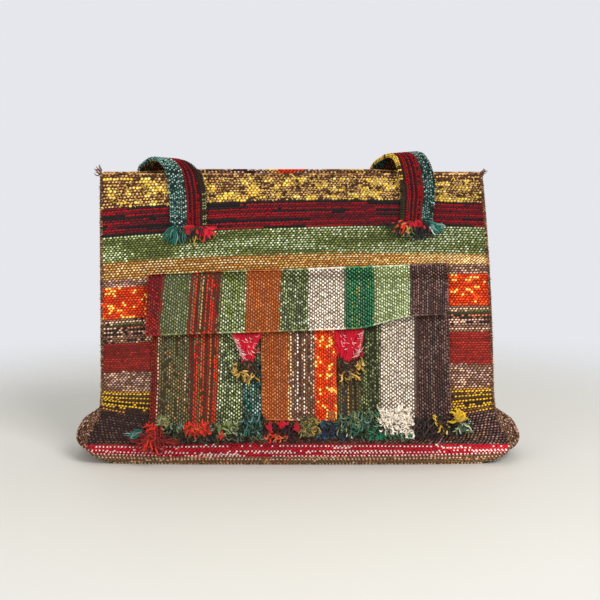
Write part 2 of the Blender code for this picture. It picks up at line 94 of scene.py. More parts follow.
# Dyes as the eye sees them, from 0 to 255.
dyes = {
    "slub": (236, 196, 74), "butter": (250, 222, 120), "straw": (226, 180, 108), "tan": (190, 140, 86),
    "walnut": (130, 88, 56), "bark": (78, 48, 30), "crimson": (178, 14, 28), "wine": (120, 18, 32),
    "char": (50, 34, 32), "ink": (34, 26, 28), "leaf": (124, 134, 72), "moss": (94, 102, 52), "mossDark": (56, 60, 28),
    "mint": (166, 176, 126), "chalkGreen": (198, 206, 172), "gold": (222, 174, 96),
    "honey": (242, 206, 146), "amber": (194, 132, 58), "cinnamon": (110, 70, 32),
    "mauve": (168, 128, 118), "sand": (214, 174, 146), "umber": (132, 94, 70), "soil": (82, 56, 42),
    "flame": (244, 78, 18), "ember": (216, 54, 14), "lemon": (255, 190, 84), "clay": (150, 42, 8),
    "brick": (158, 44, 34), "brickDark": (126, 34, 26), "oxblood": (84, 26, 20),
    "salmon": (204, 110, 80), "sun": (226, 184, 44), "plum": (82, 58, 52), "plumLight": (122, 92, 84),
    "maize": (222, 178, 26), "plumDark": (42, 28, 26), "rose": (204, 24, 44), "pinkWhite": (250, 208, 198),
    "rust": (184, 98, 46), "rustLight": (206, 124, 68), "rustDark": (128, 60, 24),
    "scarlet": (214, 48, 28), "sage": (112, 116, 82), "sageDark": (68, 70, 46),
    "pale": (142, 150, 102), "pine": (98, 104, 70), "pineDark": (46, 50, 28),
    "emerald": (56, 112, 76), "emeraldDark": (10, 50, 28), "cream": (250, 236, 216),
    "oat": (214, 198, 176), "bean": (104, 84, 72), "olive": (118, 102, 66), "oliveDark": (64, 54, 32),
    "teal": (30, 104, 88), "tealDark": (24, 42, 38), "aqua": (104, 142, 132), "mist": (176, 200, 190),
    "carnation": (214, 16, 48), "blush": (236, 160, 160), "mustard": (190, 152, 56),
    "navy": (40, 52, 92), "jade": (10, 128, 90), "claret": (166, 4, 16), "inkRed": (60, 10, 14),
    "sea": (58, 97, 84), "seaMist": (146, 172, 162), "cotton": (176, 158, 130), "darkRed": (140, 34, 30),
}


def dye(name):
    c = np.array(dyes[name]) / 255
    return np.where(c <= 0.04045, c / 12.92, ((c + 0.055) / 1.055) ** 2.4)


def cloudy(row, col, run, rowRun, rng):
    table = rng.random((int(row.max() / rowRun) + 3, int(col.max() / run) + 3))
    x, y = col / run, row / rowRun
    i, j = np.floor(x).astype(int), np.floor(y).astype(int)
    fx = smooth(x - i)
    fy = smooth(y - j) if rowRun > 1 else 0.0
    near = table[j, i] * (1 - fx) + table[j, i + 1] * fx
    far = table[j + 1, i] * (1 - fx) + table[j + 1, i + 1] * fx
    return near * (1 - fy) + far * fy


def ranked(value):
    return (np.argsort(np.argsort(value)) + 0.5) / len(value)


# Tones are dye names with their weights, such as "bark 2, tan 4".
def readTones(tones):
    names, weights = zip(*(part.split() for part in tones.split(",")))
    return names, [int(weight) for weight in weights]


def pickTones(tones, value):
    names, weights = readTones(tones)
    which = np.minimum(np.searchsorted(np.cumsum(weights) / sum(weights), value), len(names) - 1)
    return np.array([dye(name) for name in names])[which]


# A stripe has its edge, the colour between its stitches (its warp, darkened as painted shade in the gaps), and its
# tones. Run is the length of a patch of one tone, grain its roughness, and mix the share of stitches that leave the
# given lines.
def stripe(edge, warpAndGapShade, tones, **more):
    return dict(more, edge=edge, warpAndGapShade=warpAndGapShade, tones=tones)


# How much the tone differs between rows and between stitches, and how a change of dye wavers at its edge.
yarnTone = {"rows": 0.12, "stitches": 0.4, "waver": 0.012}


def dyeStripe(stripe, row, col, seed):
    rng = np.random.default_rng(seed)
    row = row - row.min()
    grain = stripe.get("grain", 0.5)
    flow = cloudy(row, col, stripe.get("run", 6), stripe.get("rowRun", 1), rng)
    value = ranked((1 - grain) * flow + grain * rng.random(len(row)))
    if "lines" in stripe:
        order = stripe["lines"].split()
        names = sorted(set(order))
        which = np.array(order)[row % len(order)]
        colours = np.array([dye(name) for name in names])[np.searchsorted(names, which)]
        breaks = (1 - grain) * cloudy(row, col, stripe.get("run", 6), 1, rng) + grain * rng.random(len(row))
        mixed = ranked(breaks) < stripe.get("mix", 0.25)
        colours[mixed] = pickTones(stripe["tones"], value)[mixed]
    else:
        colours = pickTones(stripe["tones"], value)
    # The third column of form sets how strong the painted rim shade and ridge highlight of each stitch are.
    form = np.tile([stripe.get("long", 1.0), stripe.get("fat", 1.0), stripe.get("relief", 1.0)], (len(row), 1))
    if "dots" in stripe:
        dotted = np.isin(which, stripe["dots"].split())
        form[dotted, 0], form[dotted, 2] = 0.82, 1.0
    if "second" in stripe:
        low, high = stripe.get("band", (0.0, 1.0))
        other = ((row + col) % 2 == 0) & (value > low) & (value < high)
        colours[other] = pickTones(stripe["second"], rng.random(len(row)))[other]
    if "slub" in stripe:
        names, share, run, thick = stripe["slub"]
        lump = cloudy(row, col, run, 1.6, rng) + 0.25 * rng.random(len(row))
        hit = ranked(lump) > 1 - share
        colours[hit] = pickTones(names, rng.random(len(row)))[hit]
        form[hit] = (1 + 0.4 * (thick - 1), thick, 1.0)
    return colours, form


def dyeCloth(stripes, position, row, col, seed, share=None):
    colours = np.zeros((len(row), 3))
    warpAndGapShade = np.zeros((len(row), 3))
    form = np.ones((len(row), 3))
    start = -1.0
    for number, stripe in enumerate(stripes):
        end = 2.0 if number == len(stripes) - 1 else stripe["edge"]
        inside = (position >= start) & (position < end)
        start = end
        if inside.any():
            colours[inside], form[inside] = dyeStripe(stripe, row[inside], col[inside], seed + 17 * number)
            warpAndGapShade[inside] = dye(stripe["warpAndGapShade"])
            if "level" in stripe and share is not None:
                near, far = stripe["level"]
                colours[inside] *= near + (far - near) * share[inside][:, None]
            if "below" in stripe and share is not None:
                for other in stripe["below"]:
                    reached = share[inside] + yarnTone["waver"] * np.sin(row[inside] * 1.7) > other["edge"]
                    spots = np.flatnonzero(inside)[reached]
                    if len(spots):
                        colours[spots], form[spots] = dyeStripe(other, row[spots], col[spots], seed + 7)
                        warpAndGapShade[spots] = dye(other["warpAndGapShade"])
    rng = np.random.default_rng(seed + 900)
    rowTone = 1 + yarnTone["rows"] * (rng.random(int(row.max()) + 1)[row] - 0.5)
    tone = rowTone * (1 + yarnTone["stitches"] * (rng.random(len(row)) - 0.5))
    return colours * tone[:, None], form, warpAndGapShade


# Nodes and materials.
def fill(tree, node, inputs):
    for key, value in inputs.items():
        if isinstance(value, bpy.types.NodeSocket):
            tree.links.new(value, node.inputs[key])
        else:
            node.inputs[key].default_value = value


def add(tree, kind, inputs, **settings):
    node = tree.nodes.new(kind)
    for key, value in settings.items():
        setattr(node, key, value)
    fill(tree, node, inputs)
    return node


def calculate(tree, operation, *values):
    return add(tree, "ShaderNodeMath", dict(enumerate(values)), operation=operation).outputs[0]


def makeTree(name, kind, inputs, outputs):
    tree = bpy.data.node_groups.new(name, kind + "NodeTree")
    for label, (socketKind, value) in inputs.items():
        made = tree.interface.new_socket(label, in_out="INPUT", socket_type="NodeSocket" + socketKind)
        if value is not None:
            made.default_value = value
    for label, socketKind in outputs.items():
        tree.interface.new_socket(label, in_out="OUTPUT", socket_type="NodeSocket" + socketKind)
    return tree, tree.nodes.new("NodeGroupInput").outputs, tree.nodes.new("NodeGroupOutput")


def makeFibreGroup():
    group, given, end = makeTree(
        "woolFibre", "Shader",
        {"Dye": ("Color", (0.5, 0.5, 0.5, 1)), "Fibre Scale": ("Float", 2600.0), "Mottle": ("Float", 0.35)},
        {"Color": "Color", "Height": "Float", "Roughness": "Float"})
    where = add(group, "ShaderNodeTexCoord", {}).outputs["Object"]
    fine = add(group, "ShaderNodeTexNoise", {
        "Vector": where, "Scale": given["Fibre Scale"], "Detail": 4, "Distortion": 1.2}).outputs["Fac"]
    broad = add(group, "ShaderNodeTexNoise", {"Vector": where, "Scale": 34, "Detail": 3}).outputs["Fac"]
    tone = add(group, "ShaderNodeMapRange", {
        "Value": calculate(group, "MULTIPLY_ADD", broad, 0.6, fine), "From Min": 0.45, "From Max": 1.15,
        "To Min": calculate(group, "SUBTRACT", 1.0, given["Mottle"]),
        "To Max": calculate(group, "ADD", 1.0, given["Mottle"])})
    shade = add(group, "ShaderNodeVectorMath", {0: given["Dye"], "Scale": tone.outputs["Result"]}, operation="SCALE")
    rough = add(group, "ShaderNodeMapRange", {"Value": fine, "To Min": 0.8, "To Max": 0.98})
    fill(group, end, {"Color": shade.outputs["Vector"], "Height": fine, "Roughness": rough.outputs["Result"]})
    return group


fibreGroup = makeFibreGroup()


# Yarn takes its colour from the mesh: its dye, with painted shade and highlight on the stitches and painted shade on
# the backing between them. A plain cloth has one dye and a fine square weave in its bump.
def clothMaterial(name, mottle, sheen, plain=None):
    material = bpy.data.materials.new(name)
    material.use_nodes = True
    tree = material.node_tree
    if plain:
        colour, fibreScale, strength, distance, specular = (*dye(plain), 1), 1600.0, 0.4, 0.0003, 0.1
    else:
        colour = add(tree, "ShaderNodeAttribute", {}, attribute_name="yarn").outputs["Color"]
        fibreScale, strength, distance, specular = 2600.0, 0.25, 0.0004, 0.08
    fibre = add(tree, "ShaderNodeGroup", {"Dye": colour, "Mottle": mottle, "Fibre Scale": fibreScale},
                node_tree=fibreGroup).outputs
    height = fibre["Height"]
    if plain:
        where = add(tree, "ShaderNodeTexCoord", {}).outputs["Object"]
        height = add(tree, "ShaderNodeTexChecker", {"Vector": where, "Scale": 900.0}).outputs["Fac"]
    raised = add(tree, "ShaderNodeBump", {"Height": height, "Strength": strength, "Distance": distance})
    fill(tree, tree.nodes["Principled BSDF"], {
        "Base Color": fibre["Color"], "Roughness": fibre["Roughness"], "Normal": raised.outputs["Normal"],
        "Specular IOR Level": specular, "Sheen Weight": sheen, "Sheen Roughness": 0.55})
    return material


woolMaterial = clothMaterial("woolYarn", 0.3, 0.04)
# Material of the backing, whose colour is the warp darkened as painted shade between the stitches.
gapShadeMaterial = clothMaterial("warpGround", 0.35, 0.0)
fringeMaterial = clothMaterial("fringeYarn", 0.28, 0.1)
cottonMaterial = clothMaterial("plainCotton", 0.12, 0.0, "cotton")
print("cloth materials made")


# Meshes and objects.
def newObject(name, data):
    made = bpy.data.objects.new(name, data)
    scene.collection.objects.link(made)
    return made


def paint(mesh, colours):
    full = np.concatenate([colours, np.ones((len(colours), 1))], 1).astype(np.float32)
    mesh.attributes.new("yarn", "FLOAT_COLOR", "POINT").data.foreach_set("color", full.ravel())


def bake(made, modifier):
    graph = bpy.context.evaluated_depsgraph_get()
    result = bpy.data.meshes.new_from_object(made.evaluated_get(graph), depsgraph=graph)
    made.modifiers.remove(modifier)
    result.name = made.name
    made.data = result


def bakeNodes(name, mesh, tree, values):
    made = newObject(name, mesh)
    modifier = made.modifiers.new("nodes", "NODES")
    modifier.node_group = tree
    for item in tree.interface.items_tree:
        if item.in_out == "INPUT" and item.name in values:
            modifier[item.identifier] = values[item.name]
    bake(made, modifier)
    return made


def settle(made, slotName, replaced=None):
    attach(made, "root")
    if replaced:
        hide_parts(replaced)


def soften(mesh, material):
    mesh.shade_smooth()
    mesh.set_sharp_from_angle(angle=math.radians(50))
    mesh.materials.clear()
    mesh.materials.append(material)


# Stitches and strands by geometry nodes.
stitchShape = {"length": 0.94, "width": 0.92, "shoulder": 0.24, "ridge": 0.16}


def stitchObject(fine):
    shoulder, ridge = stitchShape["shoulder"], stitchShape["ridge"]
    if fine:
        rim = [(0.5, 0), (shoulder, 0.5), (-shoulder, 0.5), (-0.5, 0), (-shoulder, -0.5), (shoulder, -0.5)]
        faces = [(0, 1, 6), (1, 2, 7, 6), (2, 3, 7), (3, 4, 7), (4, 5, 6, 7), (5, 0, 6), (5, 4, 3, 2, 1, 0)]
    else:
        rim = [(0.53, 0), (0, 0.57), (-0.53, 0), (0, -0.57)]
        faces = [(0, 1, 4), (1, 5, 4), (1, 2, 5), (2, 3, 5), (3, 4, 5), (3, 0, 4), (3, 2, 1, 0)]
    points = [(x, y, 0.0) for x, y in rim] + [(ridge, 0, 0.5), (-ridge, 0, 0.5)]
    mesh = bpy.data.meshes.new("stitch")
    mesh.from_pydata(points, [], faces)
    spot = mesh.attributes.new("spot", "FLOAT_VECTOR", "POINT")
    spot.data.foreach_set("vector", np.array(points, np.float32).ravel())
    return newObject("stitchPattern", mesh)


def named(tree, name, kind="FLOAT_VECTOR"):
    return add(tree, "GeometryNodeInputNamedAttribute", {"Name": name}, data_type=kind).outputs["Attribute"]


def finishTree(tree, geometry, yarn, end):
    real = add(tree, "GeometryNodeRealizeInstances", {"Geometry": geometry})
    soft = add(tree, "GeometryNodeSetShadeSmooth", {"Geometry": real.outputs["Geometry"]})
    finish = add(tree, "GeometryNodeSetMaterial", {"Geometry": soft.outputs["Geometry"], "Material": yarn})
    fill(tree, end, {"Geometry": finish.outputs["Geometry"]})
    return tree


def makeStitchTree():
    sizes = {"Stitch Length": 0.0033, "Stitch Width": 0.0027, "Stitch Height": 0.0014}
    tree, given, end = makeTree("sewStitches", "Geometry", {
        "Geometry": ("Geometry", None), "Stitch": ("Object", None), "Yarn": ("Material", None),
        **{name: ("Float", value) for name, value in sizes.items()}}, {"Geometry": "Geometry"})
    lift = add(tree, "FunctionNodeAlignRotationToVector", {"Vector": named(tree, "facing")}, axis="Z")
    turn = add(tree, "FunctionNodeAlignRotationToVector", {
        "Rotation": lift.outputs["Rotation"], "Vector": named(tree, "along")}, axis="X", pivot_axis="Z")
    size = add(tree, "ShaderNodeCombineXYZ", {k: given[name] for k, name in enumerate(sizes)})
    grow = add(tree, "ShaderNodeVectorMath", {0: size.outputs["Vector"], 1: named(tree, "grow")}, operation="MULTIPLY")
    stitch = add(tree, "GeometryNodeObjectInfo", {"Object": given["Stitch"]})
    place = add(tree, "GeometryNodeInstanceOnPoints", {
        "Points": given["Geometry"], "Instance": stitch.outputs["Geometry"],
        "Rotation": turn.outputs["Rotation"], "Scale": grow.outputs["Vector"]})
    return finishTree(tree, place.outputs["Instances"], given["Yarn"], end)


def makeStrandTree():
    tree, given, end = makeTree("spinStrands", "Geometry", {
        "Geometry": ("Geometry", None), "Yarn": ("Material", None), "Sides": ("Int", 4),
        "Thickness": ("Float", 1.0)}, {"Geometry": "Geometry"})
    thick = calculate(tree, "MULTIPLY", named(tree, "thick", "FLOAT"), given["Thickness"])
    curve = add(tree, "GeometryNodeMeshToCurve", {"Mesh": given["Geometry"]})
    radius = add(tree, "GeometryNodeSetCurveRadius", {"Curve": curve.outputs["Curve"], "Radius": thick})
    ring = add(tree, "GeometryNodeCurvePrimitiveCircle", {"Resolution": given["Sides"], "Radius": 1.0})
    sweep = add(tree, "GeometryNodeCurveToMesh", {
        "Curve": radius.outputs["Curve"], "Profile Curve": ring.outputs["Curve"], "Scale": thick, "Fill Caps": True})
    return finishTree(tree, sweep.outputs["Mesh"], given["Yarn"], end)


stitchTree = makeStitchTree()
strandTree = makeStrandTree()
stitchObjects = {fine: stitchObject(fine) for fine in (True, False)}


def unit(v):
    return v / np.maximum(np.linalg.norm(v, axis=-1, keepdims=True), 1e-12)


def framesAt(place, a, b, outward):
    step = 0.002
    a0, a1 = np.clip(a - step, 0, 1), np.clip(a + step, 0, 1)
    b0, b1 = np.clip(b - step, 0, 1), np.clip(b + step, 0, 1)
    alongA = unit(place(a1, b, 0.0) - place(a0, b, 0.0))
    alongB = unit(place(a, b1, 0.0) - place(a, b0, 0.0))
    return alongA, alongB, unit(np.cross(alongA, alongB)) * outward


def read(mesh, name, kind, width):
    out = np.empty(len(mesh.vertices) * width, np.float32)
    mesh.attributes[name].data.foreach_get(kind, out)
    return out.reshape(-1, width)


# The weave's last factor, 0.8, darkens the backing between stitches further: painted shade.
# shade and shine scale a stitch's colour at its rim and on its ridge: painted shade and painted highlight.
weave = {"row": 0.0023, "stitch": 0.0035, "height": 0.0017, "sink": 0.0004, "tilt": 0.3, "twist": 0.16,
         "shade": 0.46, "shine": 1.2, "warpAndGapShade": 0.8, "uneven": 0.18, "jitter": (0.25, 0.2)}


def cellCount(size, scale=(1.0, 1.0)):
    return max(2, round(size[1] / weave["row"] / scale[1])), max(2, round(size[0] / weave["stitch"] / scale[0]))


# The stitches of one face, and of the rims where the cloth turns over its edge.
def stitchSets(rows, cols, colour, rims, rng):
    row, col = [v.ravel() for v in np.meshgrid(np.arange(rows), np.arange(cols), indexing="ij")]
    along, across = weave["jitter"]
    a = np.clip((col + 0.25 + 0.5 * (row % 2) + (rng.random(len(col)) - 0.5) * along) / cols, 0, 1)
    b = np.clip((row + 0.5 + (rng.random(len(col)) - 0.5) * across) / rows, 0, 1)
    colours, form, _ = colour(a, b, row, col)
    sets = [(a, b, colours, form, None, 0)]
    for edge, angles, tint in rims:
        ends = edge in ("b0", "b1")
        count = cols if ends else rows
        for number, angle in enumerate(angles):
            t = np.clip((np.arange(count) + 0.25 + 0.5 * (number % 2)) / count, 0, 1)
            a = t if ends else np.full(count, 0.0 if edge == "a0" else 1.0)
            b = np.full(count, 0.0 if edge == "b0" else 1.0) if ends else t
            inA, inB = np.clip(a, 0.004, 0.996), np.clip(b, 0.004, 0.996)
            colours, form, _ = (tint or colour)(inA, inB, (inB * rows).astype(int), (inA * cols).astype(int))
            sets.append((a, b, colours, form, edge, angle))
    return sets


def sewWeave(name, slotName, place, size, outward, colour, seed, rims=(), cloth=0.003, scale=(1.0, 1.0), fine=True):
    rows, cols = cellCount(size, scale)
    rng = np.random.default_rng(seed)
    points, colourSets = [], []
    vectors = {"facing": [], "along": [], "grow": [], "cell": []}
    for a, b, colours, form, edge, angle in stitchSets(rows, cols, colour, rims, rng):
        alongA, alongB, normal = framesAt(place, a, b, outward)
        if edge is None:
            out, way, twist = normal, alongA, weave["twist"]
            points.append(place(a, b, -weave["sink"]))
        else:
            side = (alongA if edge[0] == "a" else alongB) * (-1 if edge[1] == "0" else 1)
            out, way, twist = normal * math.cos(angle) + side * math.sin(angle), alongB if edge[0] == "a" else alongA, 0
            points.append(place(a, b, -cloth / 2) + out * (cloth / 2 - weave["sink"]))
        wild = (rng.random((len(a), 1)) - 0.5) * weave["tilt"] * np.maximum(3 * form[:, 1:2] - 2, 0.6)
        grow = 1 + weave["uneven"] * (rng.random((len(a), 3)) - 0.5)
        grow[:, 0] *= form[:, 0]
        grow[:, 1:] *= form[:, 1:2]
        vectors["facing"].append(out)
        vectors["along"].append(unit(way + np.cross(out, way) * (wild + twist)))
        vectors["grow"].append(grow * [stitchShape["length"], stitchShape["width"], 1.0])
        # The third entry of cell carries the strength of the painted shade and highlight.
        vectors["cell"].append(np.stack([a, b, form[:, 2]], 1))
        colourSets.append(colours)
    points = np.concatenate(points)
    cloud = bpy.data.meshes.new("points")
    cloud.vertices.add(len(points))
    cloud.vertices.foreach_set("co", points.astype(np.float32).ravel())
    for key, value in vectors.items():
        cloud.attributes.new(key, "FLOAT_VECTOR", "POINT").data.foreach_set(
            "vector", np.concatenate(value).astype(np.float32).ravel())
    paint(cloud, np.concatenate(colourSets))
    made = bakeNodes(name, cloud, stitchTree, {
        "Stitch": stitchObjects[fine], "Yarn": woolMaterial, "Stitch Length": size[0] / cols,
        "Stitch Width": size[1] / rows, "Stitch Height": weave["height"]})
    mesh = made.data
    cell, spot = read(mesh, "cell", "vector", 3), read(mesh, "spot", "vector", 3)
    yarn = read(mesh, "yarn", "color", 4)
    # Painted shade and highlight: each stitch's colour is darkened towards its rim and lightened on its ridge.
    middle = (weave["shine"] + weave["shade"]) / 2
    yarn[:, :3] *= middle + (weave["shine"] - weave["shade"]) * (spot[:, 2:3] * 2 - 0.5) * cell[:, 2:3]
    mesh.attributes["yarn"].data.foreach_set("color", yarn.ravel())
    for key in ("spot", "cell"):
        mesh.attributes.remove(mesh.attributes[key])
    corner = np.empty(len(mesh.loops), np.int32)
    mesh.loops.foreach_get("vertex_index", corner)
    uv = 0.01 + cell[:, :2] * 0.98 + spot[:, :2] * np.array([0.9 / cols, 0.9 / rows])
    mesh.uv_layers.new(name="OFBake").data.foreach_set("uv", uv[corner].astype(np.float32).ravel())
    settle(made, slotName)
    print(name, len(points), "stitches")
    return made


def sheetMesh(name, place, lifts, grid, outward, colour, size):
    na, nb = grid
    a, b = [v.ravel() for v in np.meshgrid(np.linspace(0, 1, na + 1), np.linspace(0, 1, nb + 1), indexing="ij")]
    points = np.concatenate([place(a, b, lift) for lift in lifts])
    half = len(a)

    def at(i, j):
        return i * (nb + 1) + j

    faces = []
    for i in range(na):
        for j in range(nb):
            face = (at(i, j), at(i + 1, j), at(i + 1, j + 1), at(i, j + 1))
            faces += [face, tuple(k + half for k in face[::-1])]
    ring = [at(i, 0) for i in range(na)] + [at(na, j) for j in range(nb)]
    ring += [at(i, nb) for i in range(na, 0, -1)] + [at(0, j) for j in range(nb, 0, -1)]
    faces += [(p, p + half, q + half, q) for p, q in zip(ring, ring[1:] + ring[:1])]
    mesh = bpy.data.meshes.new(name)
    mesh.from_pydata(points.tolist(), [], faces if outward > 0 else [face[::-1] for face in faces])
    rows, cols = cellCount(size)
    row, col = np.minimum((b * rows).astype(int), rows - 1), np.minimum((a * cols).astype(int), cols - 1)
    # Painted shade: the backing between the stitches is its stripe's dark colour times 0.8.
    warpAndGapShade = colour(np.clip(a, 0.001, 0.999), np.clip(b, 0.001, 0.999), row, col)[2] * weave["warpAndGapShade"]
    paint(mesh, np.concatenate([warpAndGapShade, warpAndGapShade]))
    soften(mesh, gapShadeMaterial)
    return newObject(name, mesh)


def clothPiece(node, slotName, place, size, outward, colour, seed, cloth, flat,
               rims=(), grid=(40, 60), under=None, scale=(1.0, 1.0), fine=True):
    inset = 0.0004
    lifts = (-inset, -cloth + (inset if under else 0))
    # The backing sheet under the stitches stands for the warp, coloured dark as painted shade in the gaps.
    backing = sheetMesh(node + "_ground", place, lifts, grid, outward, colour, size)
    settle(backing, slotName, node)
    made = [sewWeave(node + "_weave", slotName, place, size, outward, colour, seed, rims, cloth, scale, fine)]
    if under:
        def below(a, b, lift):
            return place(a, b, -cloth - lift)
        made.append(sewWeave(node + "_under", slotName, below, size, -outward, under, seed + 50,
                             scale=scale, fine=False))


def between(values, share, knots):
    k = np.clip(np.searchsorted(knots, share, side="right") - 1, 0, len(knots) - 2)
    f = (share - knots[k]) / (knots[k + 1] - knots[k])
    n = np.arange(len(share))
    return values[k, n] + (values[k + 1, n] - values[k, n]) * f


def flatInputs(a, b, lift):
    return [v.ravel() for v in np.broadcast_arrays(*(np.asarray(v, float) for v in (a, b, lift)))]


def lengthsAlong(path):
    return np.concatenate([[0], np.cumsum(np.linalg.norm(np.diff(path, axis=0), axis=1))])


def rowsAt(where, walked, rows):
    return np.stack([np.interp(where, walked, rows[:, k]) for k in range(rows.shape[1])], 1)


edgeTurns = [math.radians(angle) for angle in (35, 90, 145)]
hemTurns = [math.radians(angle) for angle in (20, 60, 100, 140)]


# Front and back panels. Each stripe has the height of its lower edge at the left, middle and right.
# sun is the gain of a painted pool of light on the lower right of the front panel.
panelShape = {"size": (0.396, 0.305), "flat": (0.41, 0.31), "grid": (40, 80), "backScale": (1.06, 1.06), "sun": 0.38}
panelStripes = (
    stripe((0.2885, 0.2893, 0.2868), "bark", "bark 2, walnut 4, tan 4, straw 2", run=5, grain=0.6),
    stripe((0.2587, 0.2681, 0.2648), "bark", "bark 2, walnut 2, tan 4, straw 6", run=3, grain=0.55,
           level=(1.14, 0.74), slub=("slub 4, butter 2, straw 1", 0.3, 2.4, 1.75)),
    stripe((0.2289, 0.2398, 0.2398), "ink", "char 2, wine 4, crimson 3, ink 1", run=17, grain=0.05, mix=0.45,
           fat=1.06, long=1.3, relief=0.5, level=(0.92, 0.68),
           lines="char crimson wine crimson char wine crimson wine ink crimson wine crimson char"),
    stripe((0.2037, 0.2136, 0.2124), "mossDark", "moss 2, leaf 6, mint 3", run=14, rowRun=2, grain=0.25, relief=0.8,
           band=(0.36, 1.0), level=(1.4, 1.04), second="chalkGreen 4, mint 4"),
    stripe((0.1862, 0.1973, 0.2037), "cinnamon", "amber 4, gold 6, honey 4", run=9, grain=0.45),
    stripe((0.1775, 0.187, 0.1928), "soil", "umber 3, mauve 3, sand 4", grain=0.5, level=(1.2, 0.95)),
    stripe((0.1457, 0.158, 0.1611), "clay", "ember 6, flame 5", run=5, grain=0.5, level=(1.12, 1.04),
           slub=("lemon 3, flame 3", 0.3, 1.5, 1.5)),
    stripe((0.1213, 0.131, 0.1346), "soil", "ink 2, umber 3, sand 3", run=8, grain=0.4, mix=0.3, level=(1.24, 1.0),
           lines="umber sand moss mossDark salmon ink sand ink mauve umber sand"),
    stripe((0.0929, 0.1, 0.1016), "brickDark", "brickDark 4, brick 6", run=30, grain=0.2, long=1.2, relief=0.5),
    stripe((0.0732, 0.0755, 0.0767), "soil", "umber 4, mauve 3, sand 3", run=3, grain=0.6),
    stripe((0.0565, 0.039, 0.056), "bark", "plumDark 3, walnut 3, amber 3, maize 3", run=9, grain=0.25, mix=0.28,
           fat=1.1, share=0.62, level=(0.96, 0.84), lines="amber sun plum maize bark maize plumDark maize sun bark"),
    stripe((0.0215, 0.0255, 0.022), "plumDark", "plum 6, plumLight 3, walnut 1", share=2.2, level=(0.5, 1.4)),
    stripe((0.0115, 0.0105, 0.013), "wine", "rose 5, pinkWhite 3", run=11, grain=0.2, mix=0.3, fat=1.12, long=1.1,
           relief=0.7, share=1.2, level=(0.9, 0.9),
           lines="rose pinkWhite rose rose pinkWhite pinkWhite rose pinkWhite", dots="pinkWhite"),
    stripe((0.0, 0.0, 0.0), "walnut", "umber 3, tan 3, salmon 2, sand 2, olive 2", run=8, grain=0.4, mix=0.2, fat=1.3,
           long=1.25, relief=0.5, share=0.8, lines="umber sand umber olive sand umber salmon walnut sand umber",
           dots="sand salmon"),
)


def mouthAt(x, back=False):
    swell = wall["rearSwell"] * smooth((0.17 - np.abs(x + 0.015)) / 0.09) if back else 0.0
    return wall["height"] + wall["crown"] * (1 - (x / wall["topLeft"]) ** 2) + swell


def panel(node, back, seed):
    lows = np.array([(0.0, 0.0, 0.0)] + [one["edge"] for one in panelStripes])
    lows[0, 1] = wall["height"] + wall["crown"]
    fine = np.linspace(lows[0, 1], 0.0, 400)
    walked = np.concatenate([[0], np.cumsum(np.hypot(np.diff(fine), np.diff(depthAt(0.0, fine))))])
    share = np.diff(np.interp(-lows[:, 1], -fine, walked)) * [one.get("share", 1.0) for one in panelStripes]
    knots = np.concatenate([[0], np.cumsum(share)]) / share.sum()
    lows[0, 1] = 0.0
    stripes = [dict(one, edge=knots[k + 1]) for k, one in enumerate(panelStripes)]
    left, middle, right = lows.T[:, :, None] if not back else lows.T[[1, 1, 1]][:, :, None]
    bend, slope = (left + right) / 2 - middle, (right - left) / 2

    def place(a, b, lift):
        a, b, lift = flatInputs(a, b, lift)
        u = 2 * a - 1
        heights = middle + slope * u + bend * u * u
        heights[0] = mouthAt(u * wall["topLeft"], back)
        z = np.maximum(between(heights, b, knots), 0.0)
        return onWall(u * halfWidth(z, u < 0), z, lift, back)

    def colour(a, b, row, col):
        tints, form, warpAndGapShade = dyeCloth(stripes, b, row, col, seed, a)
        # Painted light: the front panel is lightened towards its right, below the top third.
        paintedLight = 1 + (0.0 if back else panelShape["sun"]) * smooth((a - 0.78) / 0.12) * smooth((b - 0.3) / 0.12)
        return tints * paintedLight[:, None], form, warpAndGapShade

    def hem(a, b, row, col):
        if not back:
            return dyeCloth(panelStripes[:1], b * 0, row, col, seed + 3)
        return dyeCloth(facingStripes, a, row * 0, col, seed + 3)

    def seamYarn(a, b, row, col):
        return dyeCloth([seamStripe], b * 0, row, col, seed + 5)

    clothPiece(node, "striped_kilim", place, panelShape["size"], 1 if back else -1, colour, seed,
               wall["cloth"], panelShape["flat"],
               rims=(("b0", hemTurns, hem), ("a0", edgeTurns, seamYarn), ("a1", edgeTurns, seamYarn)),
               grid=panelShape["grid"], fine=not back, scale=panelShape["backScale"] if back else (1.0, 1.0))


seamStripe = stripe(1, "bark", "bark 3, walnut 4, umber 3, tan 1", run=4)
facingShape = {"size": (0.282, 0.04), "grid": (40, 8), "scale": (1.1, 1.1)}
facingStripes = (
    stripe(0.16, "bark", "walnut 3, tan 3, straw 2"),
    stripe(0.33, "bark", "umber 3, sand 3, straw 2"),
    stripe(0.37, "ink", "ink 3, wine 2, char 2"),
    stripe(0.415, "soil", "mauve 3, oat 4, sand 2"),
    stripe(0.447, "bark", "straw 3, slub 2, tan 2"),
    stripe(0.52, "clay", "ember 3, flame 6"),
    stripe(0.57, "soil", "umber 2, oat 3, mauve 3"),
    stripe(0.68, "bark", "walnut 3, straw 3, tan 3"),
    stripe(0.84, "bark", "walnut 3, slub 3, tan 3"),
    stripe(1.0, "bark", "walnut 4, tan 3, sand 2"),
)

panel("front_panel", False, 11)
panel("back_panel", True, 23)


